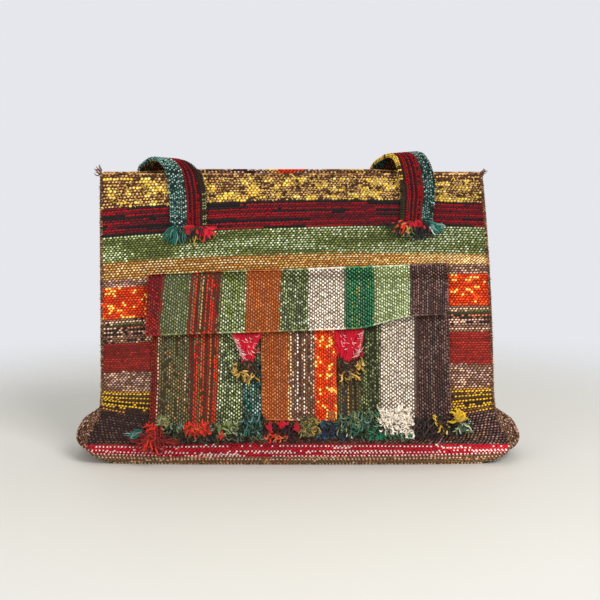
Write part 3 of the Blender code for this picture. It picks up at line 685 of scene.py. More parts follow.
def facing(node, back, seed):
    start = -wall["topLeft"] + wall["cloth"] + wall["stripWidth"] / 2 + wall["facingInset"]
    end = wall["topRight"] - wall["cloth"] - wall["stripWidth"] / 2 - wall["facingInset"]

    def place(a, b, lift):
        a, b, lift = flatInputs(a, b, lift)
        x = start + (end - start) * a
        high = mouthAt(x, back)
        z = high + (wall["height"] - wall["facingHeight"] - high) * b
        return onWall(x, z, -wall["cloth"] - wall["facingGap"] - wall["facing"] - lift, back)

    def colour(a, b, row, col):
        return dyeCloth(facingStripes, a, col, row, seed)

    clothPiece(node, "facing_kilim", place, facingShape["size"], -1 if back else 1, colour, seed, wall["facing"],
               (end - start, wall["facingHeight"]),
               grid=facingShape["grid"], scale=facingShape["scale"], fine=False)


facing("front_facing", False, 31)
facing("back_facing", True, 37)


# One strip of tweed runs down one side, under the base and up the other side. It folds inwards above the
# corner. On the base it stands clear of the floor.
stripShape = {"grid": (240, 16), "scale": (1.1, 1.1), "foldRise": 0.03, "blunt": 0.02, "base": 0.004, "clear": 0.0009}
tweedStripes = (
    stripe(1.0, "soil", "bark 2, umber 5, mauve 3, sand 3, walnut 2", run=4, grain=0.6),
)


def stripFold(x, z):
    halfGap = depthAt(x, z) - wall["cloth"] * slopeAt(x, z) - wall["seam"]
    half = wall["stripWidth"] / 2
    fold = np.sqrt(np.maximum(half ** 2 - halfGap ** 2, 0.0)) * (halfGap < half)
    return fold * smooth((z - wall["corner"]) / stripShape["foldRise"])


def stripPath():
    legs = []
    for left in (True, False):
        z = np.concatenate([np.linspace(wall["height"], wall["corner"], 90),
                            wall["corner"] * (1 - np.sin(np.linspace(0, math.pi / 2, 14)[1:]))])
        x = halfWidth(z, left) * (-1 if left else 1)
        legs.append(np.stack([x, z], 1))
    base = np.linspace(legs[0][-1], legs[1][-1], 60)[1:-1]
    path = np.concatenate([legs[0], base, legs[1][::-1]])
    return path, lengthsAlong(path)


def strip():
    path, walked = stripPath()
    length = walked[-1]
    blunt, clear = stripShape["blunt"], stripShape["clear"]

    def surface(a, b):
        s = a * length
        x, z = np.interp(s, walked, path[:, 0]), np.interp(s, walked, path[:, 1])
        edge = depthAt(x, z) - wall["cloth"] * slopeAt(x, z) - wall["seam"]
        peak = 1 - np.sqrt((2 * b - 1) ** 2 * (1 - blunt) + blunt)
        low = smooth((wall["bulgeTop"] - z) / wall["bulgeFade"]) * smooth(z / wall["bulgeRise"])
        reach = stripFold(x, z) * peak / (1 - math.sqrt(blunt)) - wall["bulge"] * low * (1 - np.abs(2 * b - 1) ** 3)
        return np.stack([x + reach * np.where(x < 0, 1, -1), edge * (2 * b - 1), np.maximum(z, 0.0)], -1)

    def place(a, b, lift):
        a, b, lift = flatInputs(a, b, lift)
        step = 0.0015
        p = surface(a, b)
        da = surface(np.minimum(a + step, 1), b) - surface(np.maximum(a - step, 0), b)
        db = surface(a, np.minimum(b + step * 6, 1)) - surface(a, np.maximum(b - step * 6, 0))
        out = p - unit(np.cross(da, db)) * lift[:, None]
        onBase = np.interp(a * length, walked, path[:, 1]) < stripShape["base"]
        out[:, 2] = np.maximum(out[:, 2], np.where(onBase & (lift > -clear), clear, 0))
        return out

    def colour(a, b, row, col):
        return dyeCloth(tweedStripes, b, row, col, 41)

    size = (length, wall["stripWidth"])
    clothPiece("base_and_side_strip", "tweed_strip", place, size, -1, colour, 41, wall["cloth"], size,
               grid=stripShape["grid"], scale=stripShape["scale"], fine=False)


strip()


# Pocket, flap and tongue. Each stripe has its right edge at the top and at the bottom.
patch = {
    "pocketTop": 0.186, "pocketBottom": 0.036, "pocketCloth": 0.0028,
    "flapTop": 0.1974, "flapSlope": 0.0351, "flapBottom": 0.1395, "flapRise": 0.0105, "riseFrom": 0.055,
    "riseReach": 0.065, "flapCloth": 0.0028, "flapPlay": 0.004,
    "tongueTop": 0.156, "tongueBottom": 0.049, "tongueCloth": 0.0022,
}
pocketFace = wall["gap"] + patch["pocketCloth"]
tongueFace = pocketFace + wall["gap"] + patch["tongueCloth"]
redLines = stripe(None, "bark", "darkRed 3, olive 2, bark 2", run=16, grain=0.25, mix=0.18, long=1.2, relief=0.6,
                  level=(1.18, 1.15))
pocketStripes = (
    stripe((-0.14, -0.1445), "oxblood", "brickDark 3, darkRed 2, rustDark 5", run=14, grain=0.3),
    stripe((-0.1105, -0.113), "oliveDark", "oliveDark 2, olive 4, sage 5, tan 1", mix=0.5, relief=0.8,
           lines="sand sage olive oliveDark sage tan olive sage oliveDark tan sage olive"),
    dict(redLines, edge=(-0.079, -0.085),
         lines="darkRed oliveDark scarlet scarlet moss rust scarlet oliveDark darkRed rust bark "
               "scarlet scarlet oliveDark"),
    stripe((-0.055, -0.056), "pineDark", "pine 3, pale 6", run=8, relief=0.8, band=(0.35, 1.0), level=(1.42, 1.42),
           second="chalkGreen 4, mint 3"),
    stripe((-0.036, -0.036), "pineDark", "pine 5, pale 4", run=10,
           below=(stripe(0.56, "tealDark", "pine 2, tealDark 1, teal 2, aqua 6, mist 2", run=5, relief=0.8),)),
    stripe((-0.01, -0.01), "rustDark", "rust 1"),
    stripe((0.0375, 0.0375), "soil", "umber 1"),
    stripe((0.062, 0.064), "oliveDark", "olive 3, pine 3, oliveDark 2", run=8, grain=0.35, mix=0.5, relief=0.8,
           lines="pineDark moss olive navy oliveDark tan oliveDark olive ink moss"),
    stripe((0.083, 0.083), "pineDark", "pineDark 3, pine 4, pale 3", run=9, grain=0.5, relief=0.85,
           level=(1.15, 1.15)),
    stripe((0.119, 0.119), "bean", "oat 4, cream 6", run=3, grain=0.6, fat=1.15, relief=0.85),
    stripe((0.1504, 0.155), "plumDark", "plum 5, plumLight 4", run=14, grain=0.4, long=1.1, relief=0.8,
           level=(1.2, 1.1)),
)
flapStripes = (
    stripe((-0.133, -0.1395), "oxblood", "wine 3, brick 3, darkRed 3", run=12, grain=0.3, level=(1.2, 1.2)),
    stripe((-0.107, -0.112), "sageDark", "sage 6, moss 2, pale 2", run=10, grain=0.45, level=(1.12, 1.3)),
    dict(redLines, edge=(-0.076, -0.08),
         lines="darkRed olive scarlet bark olive tan oliveDark scarlet bark scarlet scarlet darkRed"),
    stripe((-0.051, -0.053), "mossDark", "leaf 3, pale 5", run=8, grain=0.5, relief=0.8, band=(0.3, 1.0),
           level=(1.28, 1.28), second="chalkGreen 3, mint 3"),
    stripe((-0.0175, -0.02), "rustDark", "rust 6, rustLight 3", run=14),
    stripe((0.011, 0.01), "pineDark", "pine 3, pale 5", run=8, relief=0.8, band=(0.45, 1.0), level=(1.15, 1.1),
           second="chalkGreen 2, mint 3"),
    stripe((0.0475, 0.0475), "bean", "oat 4, cream 6", run=3, grain=0.6, fat=1.15, relief=0.85),
    stripe((0.0755, 0.0755), "emeraldDark", "emerald 6, leaf 1", run=10, grain=0.4, level=(1.5, 1.3)),
    stripe((0.113, 0.113), "moss", "pale 3, mint 4", run=5, grain=0.55, relief=0.8, band=(0.2, 1.0), level=(1.3, 1.2),
           second="chalkGreen 5"),
    stripe((0.15, 0.15), "plumDark", "plum 5, plumLight 4", run=14, grain=0.4, level=(1.3, 1.2)),
)
tongueStripes = (
    stripe((-0.01, -0.01), "rustDark", "rust 6, rustLight 3", run=14),
    stripe((0.017, 0.017), "soil", "umber 3, walnut 3, sand 3, cream 1", run=7, mix=0.5, relief=0.85,
           lines="straw honey umber walnut cream soil umber cream umber soil oat"),
    stripe((0.0375, 0.0375), "clay", "ember 5, flame 6", run=5, grain=0.5, level=(1.28, 1.26),
           slub=("lemon 3, flame 3", 0.31, 1.5, 1.5)),
)


def sewPatch(node, slotName, left, stripes, heights, lifts, seed, cloth, grid, rims):
    edges = np.array([left] + [one["edge"] for one in stripes])
    middle = edges.mean(1)
    knots = (middle - middle[0]) / (middle[-1] - middle[0])
    toned = [dict(one, edge=knots[k + 1]) for k, one in enumerate(stripes)]

    def place(a, b, lift):
        a, b, lift = flatInputs(a, b, lift)
        x = between(edges[:, 0][:, None] * (1 - a) + edges[:, 1][:, None] * a, b, knots)
        top, bottom = heights(x)
        z = top + (bottom - top) * a
        return onWall(x, z, lifts(x, z) + lift)

    def colour(a, b, row, col):
        return dyeCloth(toned, b, row, col, seed, a)

    tall = float(np.mean(heights(np.array([0.0]))[0] - heights(np.array([0.0]))[1]))
    size = (tall, float(middle[-1] - middle[0]))
    clothPiece(node, slotName, place, size, 1, colour, seed, cloth, size[::-1],
               rims=[(edge, edgeTurns, None) for edge in rims], grid=grid)


def flapEdge(x):
    rise = patch["flapRise"] * smooth((x - patch["riseFrom"]) / patch["riseReach"])
    return patch["flapBottom"] + patch["flapSlope"] * x + rise


def flapLift(x, z):
    near = smooth((z - patch["pocketTop"] - 0.001) / (patch["flapTop"] - patch["pocketTop"] - 0.001))
    return wall["gap"] + (tongueFace + patch["flapPlay"]) * (1 - near) + patch["flapCloth"]


sewPatch("pocket_panel", "pocket_kilim", (-0.1455, -0.1495), pocketStripes,
         lambda x: (0 * x + patch["pocketTop"], 0 * x + patch["pocketBottom"]),
         lambda x, z: 0 * x + pocketFace, 51, patch["pocketCloth"],
         (40, 60), ("b0", "b1", "a1"))
sewPatch("flap_tongue", "tongue_kilim", (-0.0365, -0.0355), tongueStripes,
         lambda x: (0 * x + patch["tongueTop"], 0 * x + patch["tongueBottom"]),
         lambda x, z: 0 * x + tongueFace, 57, patch["tongueCloth"],
         (30, 20), ("b0", "b1", "a1"))
sewPatch("pocket_flap", "flap_kilim", (-0.1495, -0.1525), flapStripes,
         lambda x: (patch["flapTop"] + patch["flapSlope"] * x, flapEdge(x)),
         flapLift, 61, patch["flapCloth"],
         (30, 60), ("b0", "b1", "a0", "a1"))


# Handles: a band through stations of (point, outward direction).
strap = {
    "width": 0.033, "cloth": 0.0038, "end": 0.242, "leftX": -0.111, "rightX": 0.122,
    "lean": -0.034, "drop": 0.186, "play": 0.003, "teal": 0.48, "tealLoss": 0.14, "grid": (160, 6),
}
strapSewn = wall["gap"] + strap["cloth"] / 2
backStrapOut = strapSewn + strap["cloth"] + wall["gap"]
frontStrapOut = backStrapOut + strap["cloth"] + strap["play"]
strapStripes = (
    stripe(0.5, "tealDark", "tealDark 2, sea 5, aqua 1", run=3, grain=0.6, band=(0.1, 1.0), level=(1.12, 0.9),
           second="aqua 3, seaMist 4, mist 1"),
    stripe(0.93, "inkRed", "inkRed 2, claret 3", run=30, grain=0.2, mix=0.15, long=1.25, relief=0.55,
           level=(0.8, 0.86), lines="inkRed claret claret ink claret inkRed claret"),
    stripe(1.0, "pineDark", "char 3, pineDark 2, pale 1", run=8, grain=0.4,
           below=(stripe(0.5, "ink", "mustard 4, slub 3, bark 2", run=2, grain=0.7, fat=1.15),
                  stripe(0.945, "pineDark", "pineDark 4, mossDark 2, char 2"))),
)
strapUnderStripes = (
    stripe(0.35, "bark", "oliveDark 3, olive 3, mustard 2", run=4, grain=0.6),
    stripe(0.7, "ink", "bark 3, walnut 2, wine 1"),
    stripe(1.0, "tealDark", "tealDark 3, teal 3, bark 2", run=4, grain=0.6),
)


# The front handle's legs. Over the mouth the band runs to the back and to the left, so each crest row has a
# point and the direction across the band there.
frontLegs = (
    dict(x=strap["leftX"], end=-0.0015, loop=-0.01, far=-0.0045, lean=0.0, crest=(
        (-0.1149, -0.0187, 0.2942, 0.99, 0.05, -0.12), (-0.1189, -0.0147, 0.3, 0.95, 0.23, -0.18),
        (-0.1264, -0.0032, 0.3056, 0.8, 0.58, -0.14), (-0.1374, 0.008, 0.307, 0.7, 0.71, -0.09),
        (-0.1442, 0.0175, 0.303, 0.83, 0.55, 0.01))),
    dict(x=strap["rightX"], end=0.004, loop=-0.012, far=0.003, lean=-0.0028, crest=(
        (0.119, -0.019, 0.2924, 1.0, 0.05, -0.06), (0.1171, -0.0165, 0.3008, 0.99, 0.12, -0.08),
        (0.1142, -0.0095, 0.3084, 0.96, 0.29, -0.03), (0.1096, 0.002, 0.3122, 0.94, 0.33, 0.03),
        (0.103, 0.0135, 0.31, 0.93, 0.38, 0.03))),
)


def station(x, z, lift, back, turned=False):
    step = 0.002
    dx = float(depthAt(x + step, z) - depthAt(x - step, z)) / (2 * step)
    dz = float(depthAt(x, z + step) - depthAt(x, z - step)) / (2 * step)
    sign = -1 if turned else 1
    return onWall(x, z, lift, back), (-dx * sign, sign if back else -sign, -dz * sign)


def bottomTurn(leftX, rightX, low, squash, lift, turned):
    centre, reach = (leftX + rightX) / 2, (rightX - leftX) / 2
    middle = low + reach * squash
    return [station(centre - reach * math.cos(angle), middle - reach * squash * math.sin(angle), lift, True, turned)
            for angle in (math.pi * i / 8 for i in range(1, 8))]


def frontStrapStations():
    high, legs, loops = wall["height"], [], []
    for one in frontLegs:
        x, end, lean, far = one["x"], strap["end"] + one["end"], one["lean"], one["far"]
        behind = x + strap["lean"]
        loops.append(behind + one["loop"])
        legs.append([
            station(x + lean, end, strapSewn, False),
            station(x + lean / 2, end + 0.018, strapSewn, False),
            station(x - 0.0006, high - 0.018, strapSewn + 0.001, False),
            *((row[:3], row[3:], True) for row in one["crest"]),
            ((behind + 0.001 + far, wall["mouthDepth"] + frontStrapOut - 0.001, high - 0.002), (0, 1, 0.25)),
            station(behind - 0.003 + far / 2, high - 0.03, frontStrapOut, True),
            station(loops[-1], high - 0.095, frontStrapOut, True)])
    return legs[0] + bottomTurn(*loops, high - strap["drop"], 1.0, frontStrapOut, False) + legs[1][::-1]


def backStrapStations():
    high, end = wall["height"], strap["end"]
    foldZ, foldOut = high - 0.011, (strapSewn + backStrapOut) / 2
    loops = strap["leftX"] + 0.004, strap["rightX"] - 0.004
    legs = [
        [station(x, z, strapSewn, True) for z in (end, end + 0.02, foldZ - 0.004)]
        + [(onWall(x, foldZ, foldOut, True) + (0, 0, 0.001), (0, 0.05, -1))]
        + [station(at, z, backStrapOut, True, True)
           for at, z in ((x, foldZ - 0.004), (x, high - 0.045), (loopX, high - 0.09))]
        for x, loopX in zip((strap["leftX"], strap["rightX"]), loops)]
    return legs[0] + bottomTurn(*loops, high - strap["drop"] + 0.004, 0.85, backStrapOut, True) + legs[1][::-1]


def catmull(values, i, t):
    a, b, c, d = (values[min(max(i + k, 0), len(values) - 1)] for k in (-1, 0, 1, 2))
    return 0.5 * (2 * b + (c - a) * t + (2 * a - 5 * b + 4 * c - d) * t * t + (3 * b - a - 3 * c + d) * t ** 3)


def sewStrap(node, stations, seed, narrow=1.0, scale=(0.95, 0.95)):
    # A station gives the outward direction, or with a third entry the direction across the band.
    points = [np.array(one[0], float) for one in stations]
    acrosses = []
    for k, one in enumerate(stations):
        ahead = points[min(k + 1, len(points) - 1)] - points[max(k - 1, 0)]
        turned = unit(np.array(one[1], float) if len(one) > 2 else np.cross(one[1], ahead))
        acrosses.append(-turned if len(one) > 2 and turned @ acrosses[-1] < 0 else turned)
    steps = [(i, k / 24) for i in range(len(points) - 1) for k in range(24)]
    fine, sides = [np.array([catmull(v, i, t) for i, t in steps] + [v[-1]]) for v in (points, acrosses)]
    walked = lengthsAlong(fine)
    length = float(walked[-1])
    spots = np.linspace(0, length, 500)
    centre, side = rowsAt(spots, walked, fine), unit(rowsAt(spots, walked, sides))
    way = unit(np.gradient(centre, axis=0))
    normal = unit(np.cross(way, side))

    def place(a, b, lift):
        a, b, lift = flatInputs(a, b, lift)
        c, w, n = [rowsAt(a * length, spots, v) for v in (centre, side, normal)]
        wide = strap["width"] * np.interp(a, (0.92, 0.955, 1.0), (1.0, (1 + narrow) / 2 + 0.02, narrow))
        return c + w * (wide * (b - 0.5))[:, None] + n * (strap["cloth"] / 2 + lift)[:, None]

    def colour(a, b, row, col):
        across, limit = 1 - b, strap["teal"] - strap["tealLoss"] * smooth(a * 2 - 0.5)
        across = np.where(across < limit, across / limit, 1 + (across - limit) / (1 - limit)) / 2
        return dyeCloth(strapStripes, across, row, col, seed, a)

    def under(a, b, row, col):
        return dyeCloth(strapUnderStripes, 1 - b, row, col, seed + 9)

    outward = 1 if float(np.cross(way[10], side[10]) @ normal[10]) > 0 else -1
    clothPiece(node, "strap_weave", place, (length, strap["width"]), outward, colour, seed, strap["cloth"],
               (strap["width"], length), rims=(("b0", edgeTurns, None), ("b1", edgeTurns, None)),
               grid=strap["grid"], under=under, scale=scale, fine=node == "front_strap")
    print(node, "is", round(length, 3), "m long")


sewStrap("front_strap", frontStrapStations(), 71, narrow=0.88, scale=(0.74, 0.95))
sewStrap("back_strap", backStrapStations(), 83)


# The lining is a loose cotton bag below the facings.
liningShape = {
    "heights": (1.0, 0.88, 0.76, 0.65, 0.54, 0.47, 0.4, 0.32, 0.25, 0.18, 0.1), "floor": 0.006, "sides": 24,
    "sideGap": 0.007, "slack": 0.0022, "cloth": 0.001, "flat": (0.4, 0.52),
}


def lining():
    top = wall["height"] - wall["facingHeight"] - wall["facingGap"]
    sides = liningShape["sides"]
    rings = []
    for z in np.append(top * np.array(liningShape["heights"]), wall["cloth"] + liningShape["floor"]):
        limits = []
        for left in (True, False):
            edge = float(halfWidth(z, left))
            fold = float(stripFold(-edge if left else edge, z))
            limits.append(edge - wall["cloth"] - fold - liningShape["sideGap"])
        x = -limits[0] + (limits[0] + limits[1]) * np.arange(sides + 1) / sides
        front, rear = [onWall(x, z, -wall["cloth"] - liningShape["slack"], back) for back in (False, True)]
        rings.append(np.concatenate([front, rear[::-1]]))
    count = len(rings[0])
    last = (len(rings) - 1) * count
    faces = []
    for start in range(0, last, count):
        for i in range(count):
            j = (i + 1) % count
            faces.append((start + i, start + count + i, start + count + j, start + j))
    faces += [(last + i, last + count - 1 - i, last + count - 2 - i, last + i + 1) for i in range(sides)]
    mesh = bpy.data.meshes.new("lining_bag")
    mesh.from_pydata(np.concatenate(rings).tolist(), [], faces)
    made = newObject("lining_bag", mesh)
    thick = made.modifiers.new("thickness", "SOLIDIFY")
    thick.thickness = liningShape["cloth"]
    thick.offset = -1
    bake(made, thick)
    soften(made.data, cottonMaterial)
    settle(made, "cotton_lining", "lining")
    print("lining made")


lining()


# Loose yarn ends. Each strand walks over the wall from its root. A pair of numbers is a range to draw from.
# Headings and bends are in degrees from straight down. Lengths, rises and girths are in millimetres.
def walkStrands(count, seed, x, z, lift, heading, length, bend, wave, rise, girth, tones,
                back=False, steps=None, gather=0.0, taper=0.74):
    steps = steps or (8 if np.mean(girth) > 0.9 else 6)
    rng = np.random.default_rng(seed)

    def spread(pair):
        if isinstance(pair, np.ndarray):
            return pair
        low, high = pair if isinstance(pair, tuple) else (pair, pair)
        return low + (high - low) * rng.random(count)

    x0, z0, lift0 = spread(x), spread(z), spread(lift)
    angle, long, turn = np.radians(spread(heading)), spread(length) / 1000, np.radians(spread(bend))
    if gather:
        aside = 2 * (x0 - (x[0] + x[1]) / 2) / (x[1] - x[0])
        angle = angle - math.radians(gather) * aside
        long = long * (1 - taper * np.abs(aside))
    swing, phase, up = np.radians(spread(wave)), rng.random(count) * 6.3, spread(rise) / 1000
    t = np.linspace(0, 1, steps)
    way = angle[:, None] + turn[:, None] * t + swing[:, None] * np.sin(phase[:, None] + t * 7)
    stepX = np.sin(way) * long[:, None] / (steps - 1)
    stepZ = -np.cos(way) * long[:, None] / (steps - 1)
    px = x0[:, None] + np.cumsum(stepX, 1) - stepX
    pz = np.maximum(z0[:, None] + np.cumsum(stepZ, 1) - stepZ, 0.001)
    out = lift0[:, None] + up[:, None] * np.sin(np.pi * np.minimum(t * 0.85 + 0.1, 1.0))
    thick = (spread(girth) / 1000)[:, None] * (1 - 0.5 * t ** 3)
    names, weights = readTones(tones)
    which = rng.choice(len(names), count, p=np.array(weights) / sum(weights))
    colour = np.array([dye(name) for name in names])[which] * (0.75 + 0.5 * rng.random((count, 1)))
    # Painted shade and light: each strand is darker at its root and lighter towards its tip.
    return onWall(px, pz, out, back), thick, colour[:, None, :] * (0.55 + 0.6 * t)[None, :, None]


def spinStrands(name, slotName, batches, replaced, sides=4):
    points, thick, colours = [[strand for batch in batches for strand in batch[k]] for k in range(3)]
    edges, start = [], 0
    for strand in points:
        edges += [(start + i, start + i + 1) for i in range(len(strand) - 1)]
        start += len(strand)
    mesh = bpy.data.meshes.new(name)
    mesh.from_pydata(np.concatenate(points).tolist(), edges, [])
    mesh.attributes.new("thick", "FLOAT", "POINT").data.foreach_set("value", np.concatenate(thick).astype(np.float32))
    paint(mesh, np.concatenate(colours))
    made = bakeNodes(name, mesh, strandTree, {"Yarn": fringeMaterial, "Sides": sides, "Thickness": 1.0})
    settle(made, slotName, replaced)
    print(name, len(made.data.polygons), "faces")


# Columns across the front, one a millimetre or so.
def metres(column):
    return (column - 298.0) * 0.001008


fringeLift = (pocketFace + 0.0012, pocketFace + 0.0045)


def bunch(seed, columns, count, top, depth, centre, spread, length, bend, girth, tones, rise=(1, 6)):
    ends = (metres(columns[0]) + 0.002, metres(columns[1]) - 0.002)
    bend = bend if isinstance(bend, tuple) else (-bend, bend)
    return walkStrands(count, seed, ends, ((top - depth) / 1000, top / 1000), fringeLift,
                       (centre - spread, centre + spread), length, bend, 25, rise, girth, tones)


# Bunches of yarn ends under the pocket, node by node. Each has its columns, strand count, top and depth of
# the roots, middle heading and spread, length, bend to either side, girth and tones, and some a rise.
fringeGroups = (
    ("fringe_teal", (
        ((134, 147), 16, 40, 6, -65, 28, (9, 14), (-30, 20), (0.6, 1), "teal 4, aqua 3, mist 1"),
        ((142, 162), 44, 37, 10, -78, 30, (10, 20), 60, (0.5, 0.9), "darkRed 6, scarlet 1, oxblood 2"),
        ((143, 161), 90, 33, 9, 0, 60, (6, 13), 90, (0.5, 0.9), "darkRed 6, scarlet 2, oxblood 2"),
        ((146, 162), 60, 49, 12, -10, 40, (8, 14), 160, (0.5, 0.9), "darkRed 5, scarlet 2, oxblood 2"))),
    ("fringe_olive", (
        ((158, 176), 46, 34, 6, 78, 26, (8, 14), 60, (0.5, 0.8), "darkRed 5, scarlet 1, oxblood 3"),
        ((166, 187), 70, 44, 12, 0, 60, (4, 8), 160, (0.5, 0.9), "ink 4, mossDark 3, pineDark 3"),
        ((168, 184), 22, 47, 8, 0, 60, (4, 8), 160, (0.5, 0.9), "leaf 3, pine 3, aqua 1"),
        ((155, 167), 24, 53, 8, 0, 60, (6, 12), 200, (0.8, 1.3), "pale 3, olive 5, leaf 2"))),
    ("fringe_orange", (
        ((183, 212), 60, 38.5, 6, 0, 60, (4, 8), 160, (0.45, 0.85), "ink 3, mossDark 3, pine 1"),
        ((184, 212), 120, 47.8, 10, 0, 60, (5, 10), 260, (0.6, 1), "scarlet 6, ember 3, darkRed 3, rust 2"))),
    ("fringe_pine_green", (
        ((210, 240), 100, 47.2, 14, 0, 60, (5, 9), 200, (0.45, 0.85), "pine 3, pineDark 4, ink 3"),
        ((212, 240), 36, 48.8, 14, 0, 60, (5, 10), 260, (0.8, 1.2), "pale 4, leaf 3, mint 1"),
        ((218, 225), 14, 40, 5, 0, 34, (4, 6), 160, (0.45, 0.85), "scarlet 1"))),
    ("fringe_teal", (
        ((240, 264), 120, 55, 18, 0, 50, (5, 10), 160, (0.5, 0.9), "tealDark 4, sea 4, aqua 1, pineDark 2"),
        ((234, 262), 46, 39, 6, 0, 70, (4, 8), 160, (0.5, 0.9), "pine 2, moss 2, aqua 1, ink 3"))),
    ("fringe_crimson", (
        ((263, 302), 110, 48, 12, 0, 25, (6, 11), 160, (0.45, 0.85), "ink 3, oxblood 2, char 1"),
        ((268, 272), 9, 48, 4, 0, 30, (6, 9), 160, (1.3, 1.9), "crimson 4, rose 2", (4, 7)),
        ((279, 285), 11, 49, 4, 0, 30, (5, 7), 160, (1.3, 1.9), "crimson 3, rose 4", (4, 7)),
        ((294, 299), 9, 48, 4, 0, 30, (6, 9), 160, (1.3, 1.9), "crimson 4, rose 1", (4, 7)),
        ((262, 290), 26, 37, 4, 0, 100, (5, 9), 200, (0.6, 1), "rust 3, scarlet 3, salmon 1"))),
    ("fringe_olive", (
        ((299, 320), 170, 52, 13, 0, 75, (5, 9), 160, (0.4, 0.7),
         "olive 4, mustard 2, leaf 2, mossDark 2", (4, 9)),)),
    ("fringe_navy", (
        ((316, 343), 90, 48, 13, 0, 34, (4, 7), 160, (0.45, 0.85), "navy 3, ink 3, pineDark 3"),
        ((318, 330), 18, 49, 4, 0, 80, (4, 7), 160, (0.8, 1.2), "navy 5, sea 1"),
        ((314, 356), 36, 37.5, 4, 0, 90, (3, 6), 160, (0.6, 0.9), "navy 4, sea 3, aqua 2, oat 1"),
        ((327, 336), 22, 58, 3, 0, 20, (5, 9), 20, (0.4, 0.8), "rust 4, rustLight 1"))),
    ("fringe_emerald", (
        ((336, 386), 170, 47, 12, 0, 80, (4, 8), 160, (0.4, 0.8), "emerald 3, pineDark 4, ink 3"),
        ((336, 378), 120, 58, 18, 0, 60, (5, 10), 160, (0.5, 0.8), "emerald 2, pale 3, pine 4, aqua 2, sea 3"),
        ((340, 380), 50, 48, 10, 0, 90, (4, 9), 160, (0.5, 0.8), "emerald 3, sea 2, jade 1"),
        ((366, 388), 34, 39, 5, 0, 90, (4, 7), 160, (0.6, 1), "jade 4, emerald 3"))),
    ("fringe_cream", (
        ((386, 414), 40, 39, 5, 0, 80, (4, 7), 160, (0.5, 0.9), "jade 2, emerald 2, pine 2, ink 2"),
        ((378, 412), 150, 60, 12, 0, 110, (3, 7), 260, (0.5, 1), "cream 8, oat 1", (2, 6)),
        ((380, 414), 120, 52, 12, 0, 90, (3, 7), 260, (0.5, 0.9), "cream 8, oat 1, bean 1", (3, 8)),
        ((398, 416), 40, 40.5, 6, 0, 60, (3, 6), 160, (0.4, 0.7), "cream 6, oat 2", (2, 5)))),
    ("fringe_plum", (
        ((414, 446), 150, 52, 15, 0, 70, (5, 10), 160, (0.45, 0.85), "ink 5, plum 2, char 2"),
        ((429, 438), 7, 53, 4, 35, 20, (8, 12), 20, (0.9, 1.2), "maize 3, mustard 1"),
        ((436, 450), 10, 46, 8, 0, 60, (4, 6), 60, (0.8, 1.1), "butter 1, maize 4"))),
    ("fringe_yellow", (
        ((446, 474), 80, 51, 14, 0, 60, (5, 10), 160, (0.45, 0.85), "ink 3, pineDark 2"),
        ((455, 464), 20, 51.5, 5, 185, 80, (7, 12), 110, (1.2, 1.7), "maize 5, mustard 3, sun 1", (3, 8)),
        ((455, 472), 44, 47, 6, 20, 75, (6, 10), 110, (0.6, 1), "chalkGreen 2, pine 4, sea 3, mossDark 3", (3, 7)))),
)
for number, (slotName, bunches) in enumerate(fringeGroups, start=1):
    node = f"pocket_fringe_{number:02d}"
    spinStrands(node + "_yarn", slotName, [bunch(400 + 10 * number + k, *row) for k, row in enumerate(bunches)], node)

# Two carnation tufts under the flap: a pointed bunch, pale ends at its edges, then short brown and olive ends.
tuftLift = (pocketFace + 0.001, pocketFace + 0.0034)
endTones = "mustard 4, gold 3, olive 3, bark 1"
tufts = (
    dict(node="flap_tuft_left", seed=301, columns=(232, 261), edge=-1, low=0.106, tip=249, gather=28, taper=0.66,
         knot=247, star=0.095, side=(234, 0.1035)),
    dict(node="flap_tuft_right", seed=302, columns=(334.5, 363), edge=1, low=0.106, tip=348, gather=14, taper=0.3,
         knot=349, star=0.096, side=(360, 0.107)),
)
for one in tufts:
    (left, right), mid, seed = map(metres, one["columns"]), metres(one["knot"]), one["seed"]
    side, sideTop, tip = metres(one["side"][0]), one["side"][1], metres(one["tip"])
    top = float(flapEdge(np.array([left]))[0]) - 0.0005
    deep, star, out = top - one["low"], one["star"], one["edge"]
    rim = left if out < 0 else right
    along = np.linspace(0, 0.8, 56)
    rimX = rim + along * (tip - rim) * one["taper"] * 1.2 + out * 0.0008
    rows = (
        (280, 0, (left, right), (top - 0.0035, top), (-4, 10), (1000 * deep - 3, 1000 * deep + 1), (-25, 25), 14,
         (2, 6), (0.4, 0.8), "carnation 7, rose 2", one["gather"]),
        (56, 5, rimX, top - 0.003 - along * (deep - 0.004), (-75 * out, -25 * out), (4, 9), (-40, 40), 20,
         (4, 8), (0.3, 0.5), "blush 3, cream 1, salmon 1", 0),
        (40, 7, (left + 0.004, right - 0.004), (one["low"] + 0.01, top - 0.004), (20, 110), (3, 7), (-60, 60), 20,
         (6, 9), (0.3, 0.5), "blush 3, cream 1, rose 2", 0),
        (80, 8, (mid - 0.007, mid + 0.008), (star - 0.002, star + 0.011), (-180, 180), (4, 8), (-90, 90), 25,
         (1, 4), (0.4, 0.8), "bark 4, ink 3, umber 2, oliveDark 2", 0),
        (16, 9, (side - 0.003, side + 0.003), (sideTop - 0.008, sideTop), (-180, 180), (3, 6), (-150, 150), 25,
         (4, 8), (0.7, 1.1), endTones, 0),
        (22, 11, (mid - 0.008, mid + 0.008), (star - 0.007, star + 0.002), (-75, 75), (5, 10), (-60, 60), 25,
         (3, 8), (0.7, 1.1), endTones, 0),
        (50, 12, (mid - 0.011, mid + 0.011), (star - 0.008, star + 0.006), (-90, 90), (4, 8), (-90, 90), 25,
         (1, 3), (0.4, 0.8), "oliveDark 3, pineDark 3, bark 2", 0),
    )
    spinStrands(one["node"] + "_yarn", "tuft_carnation", [
        walkStrands(count, seed + k, x, z, tuftLift, *rest, gather=gather, taper=one["taper"])
        for count, k, x, z, *rest, gather in rows], one["node"])

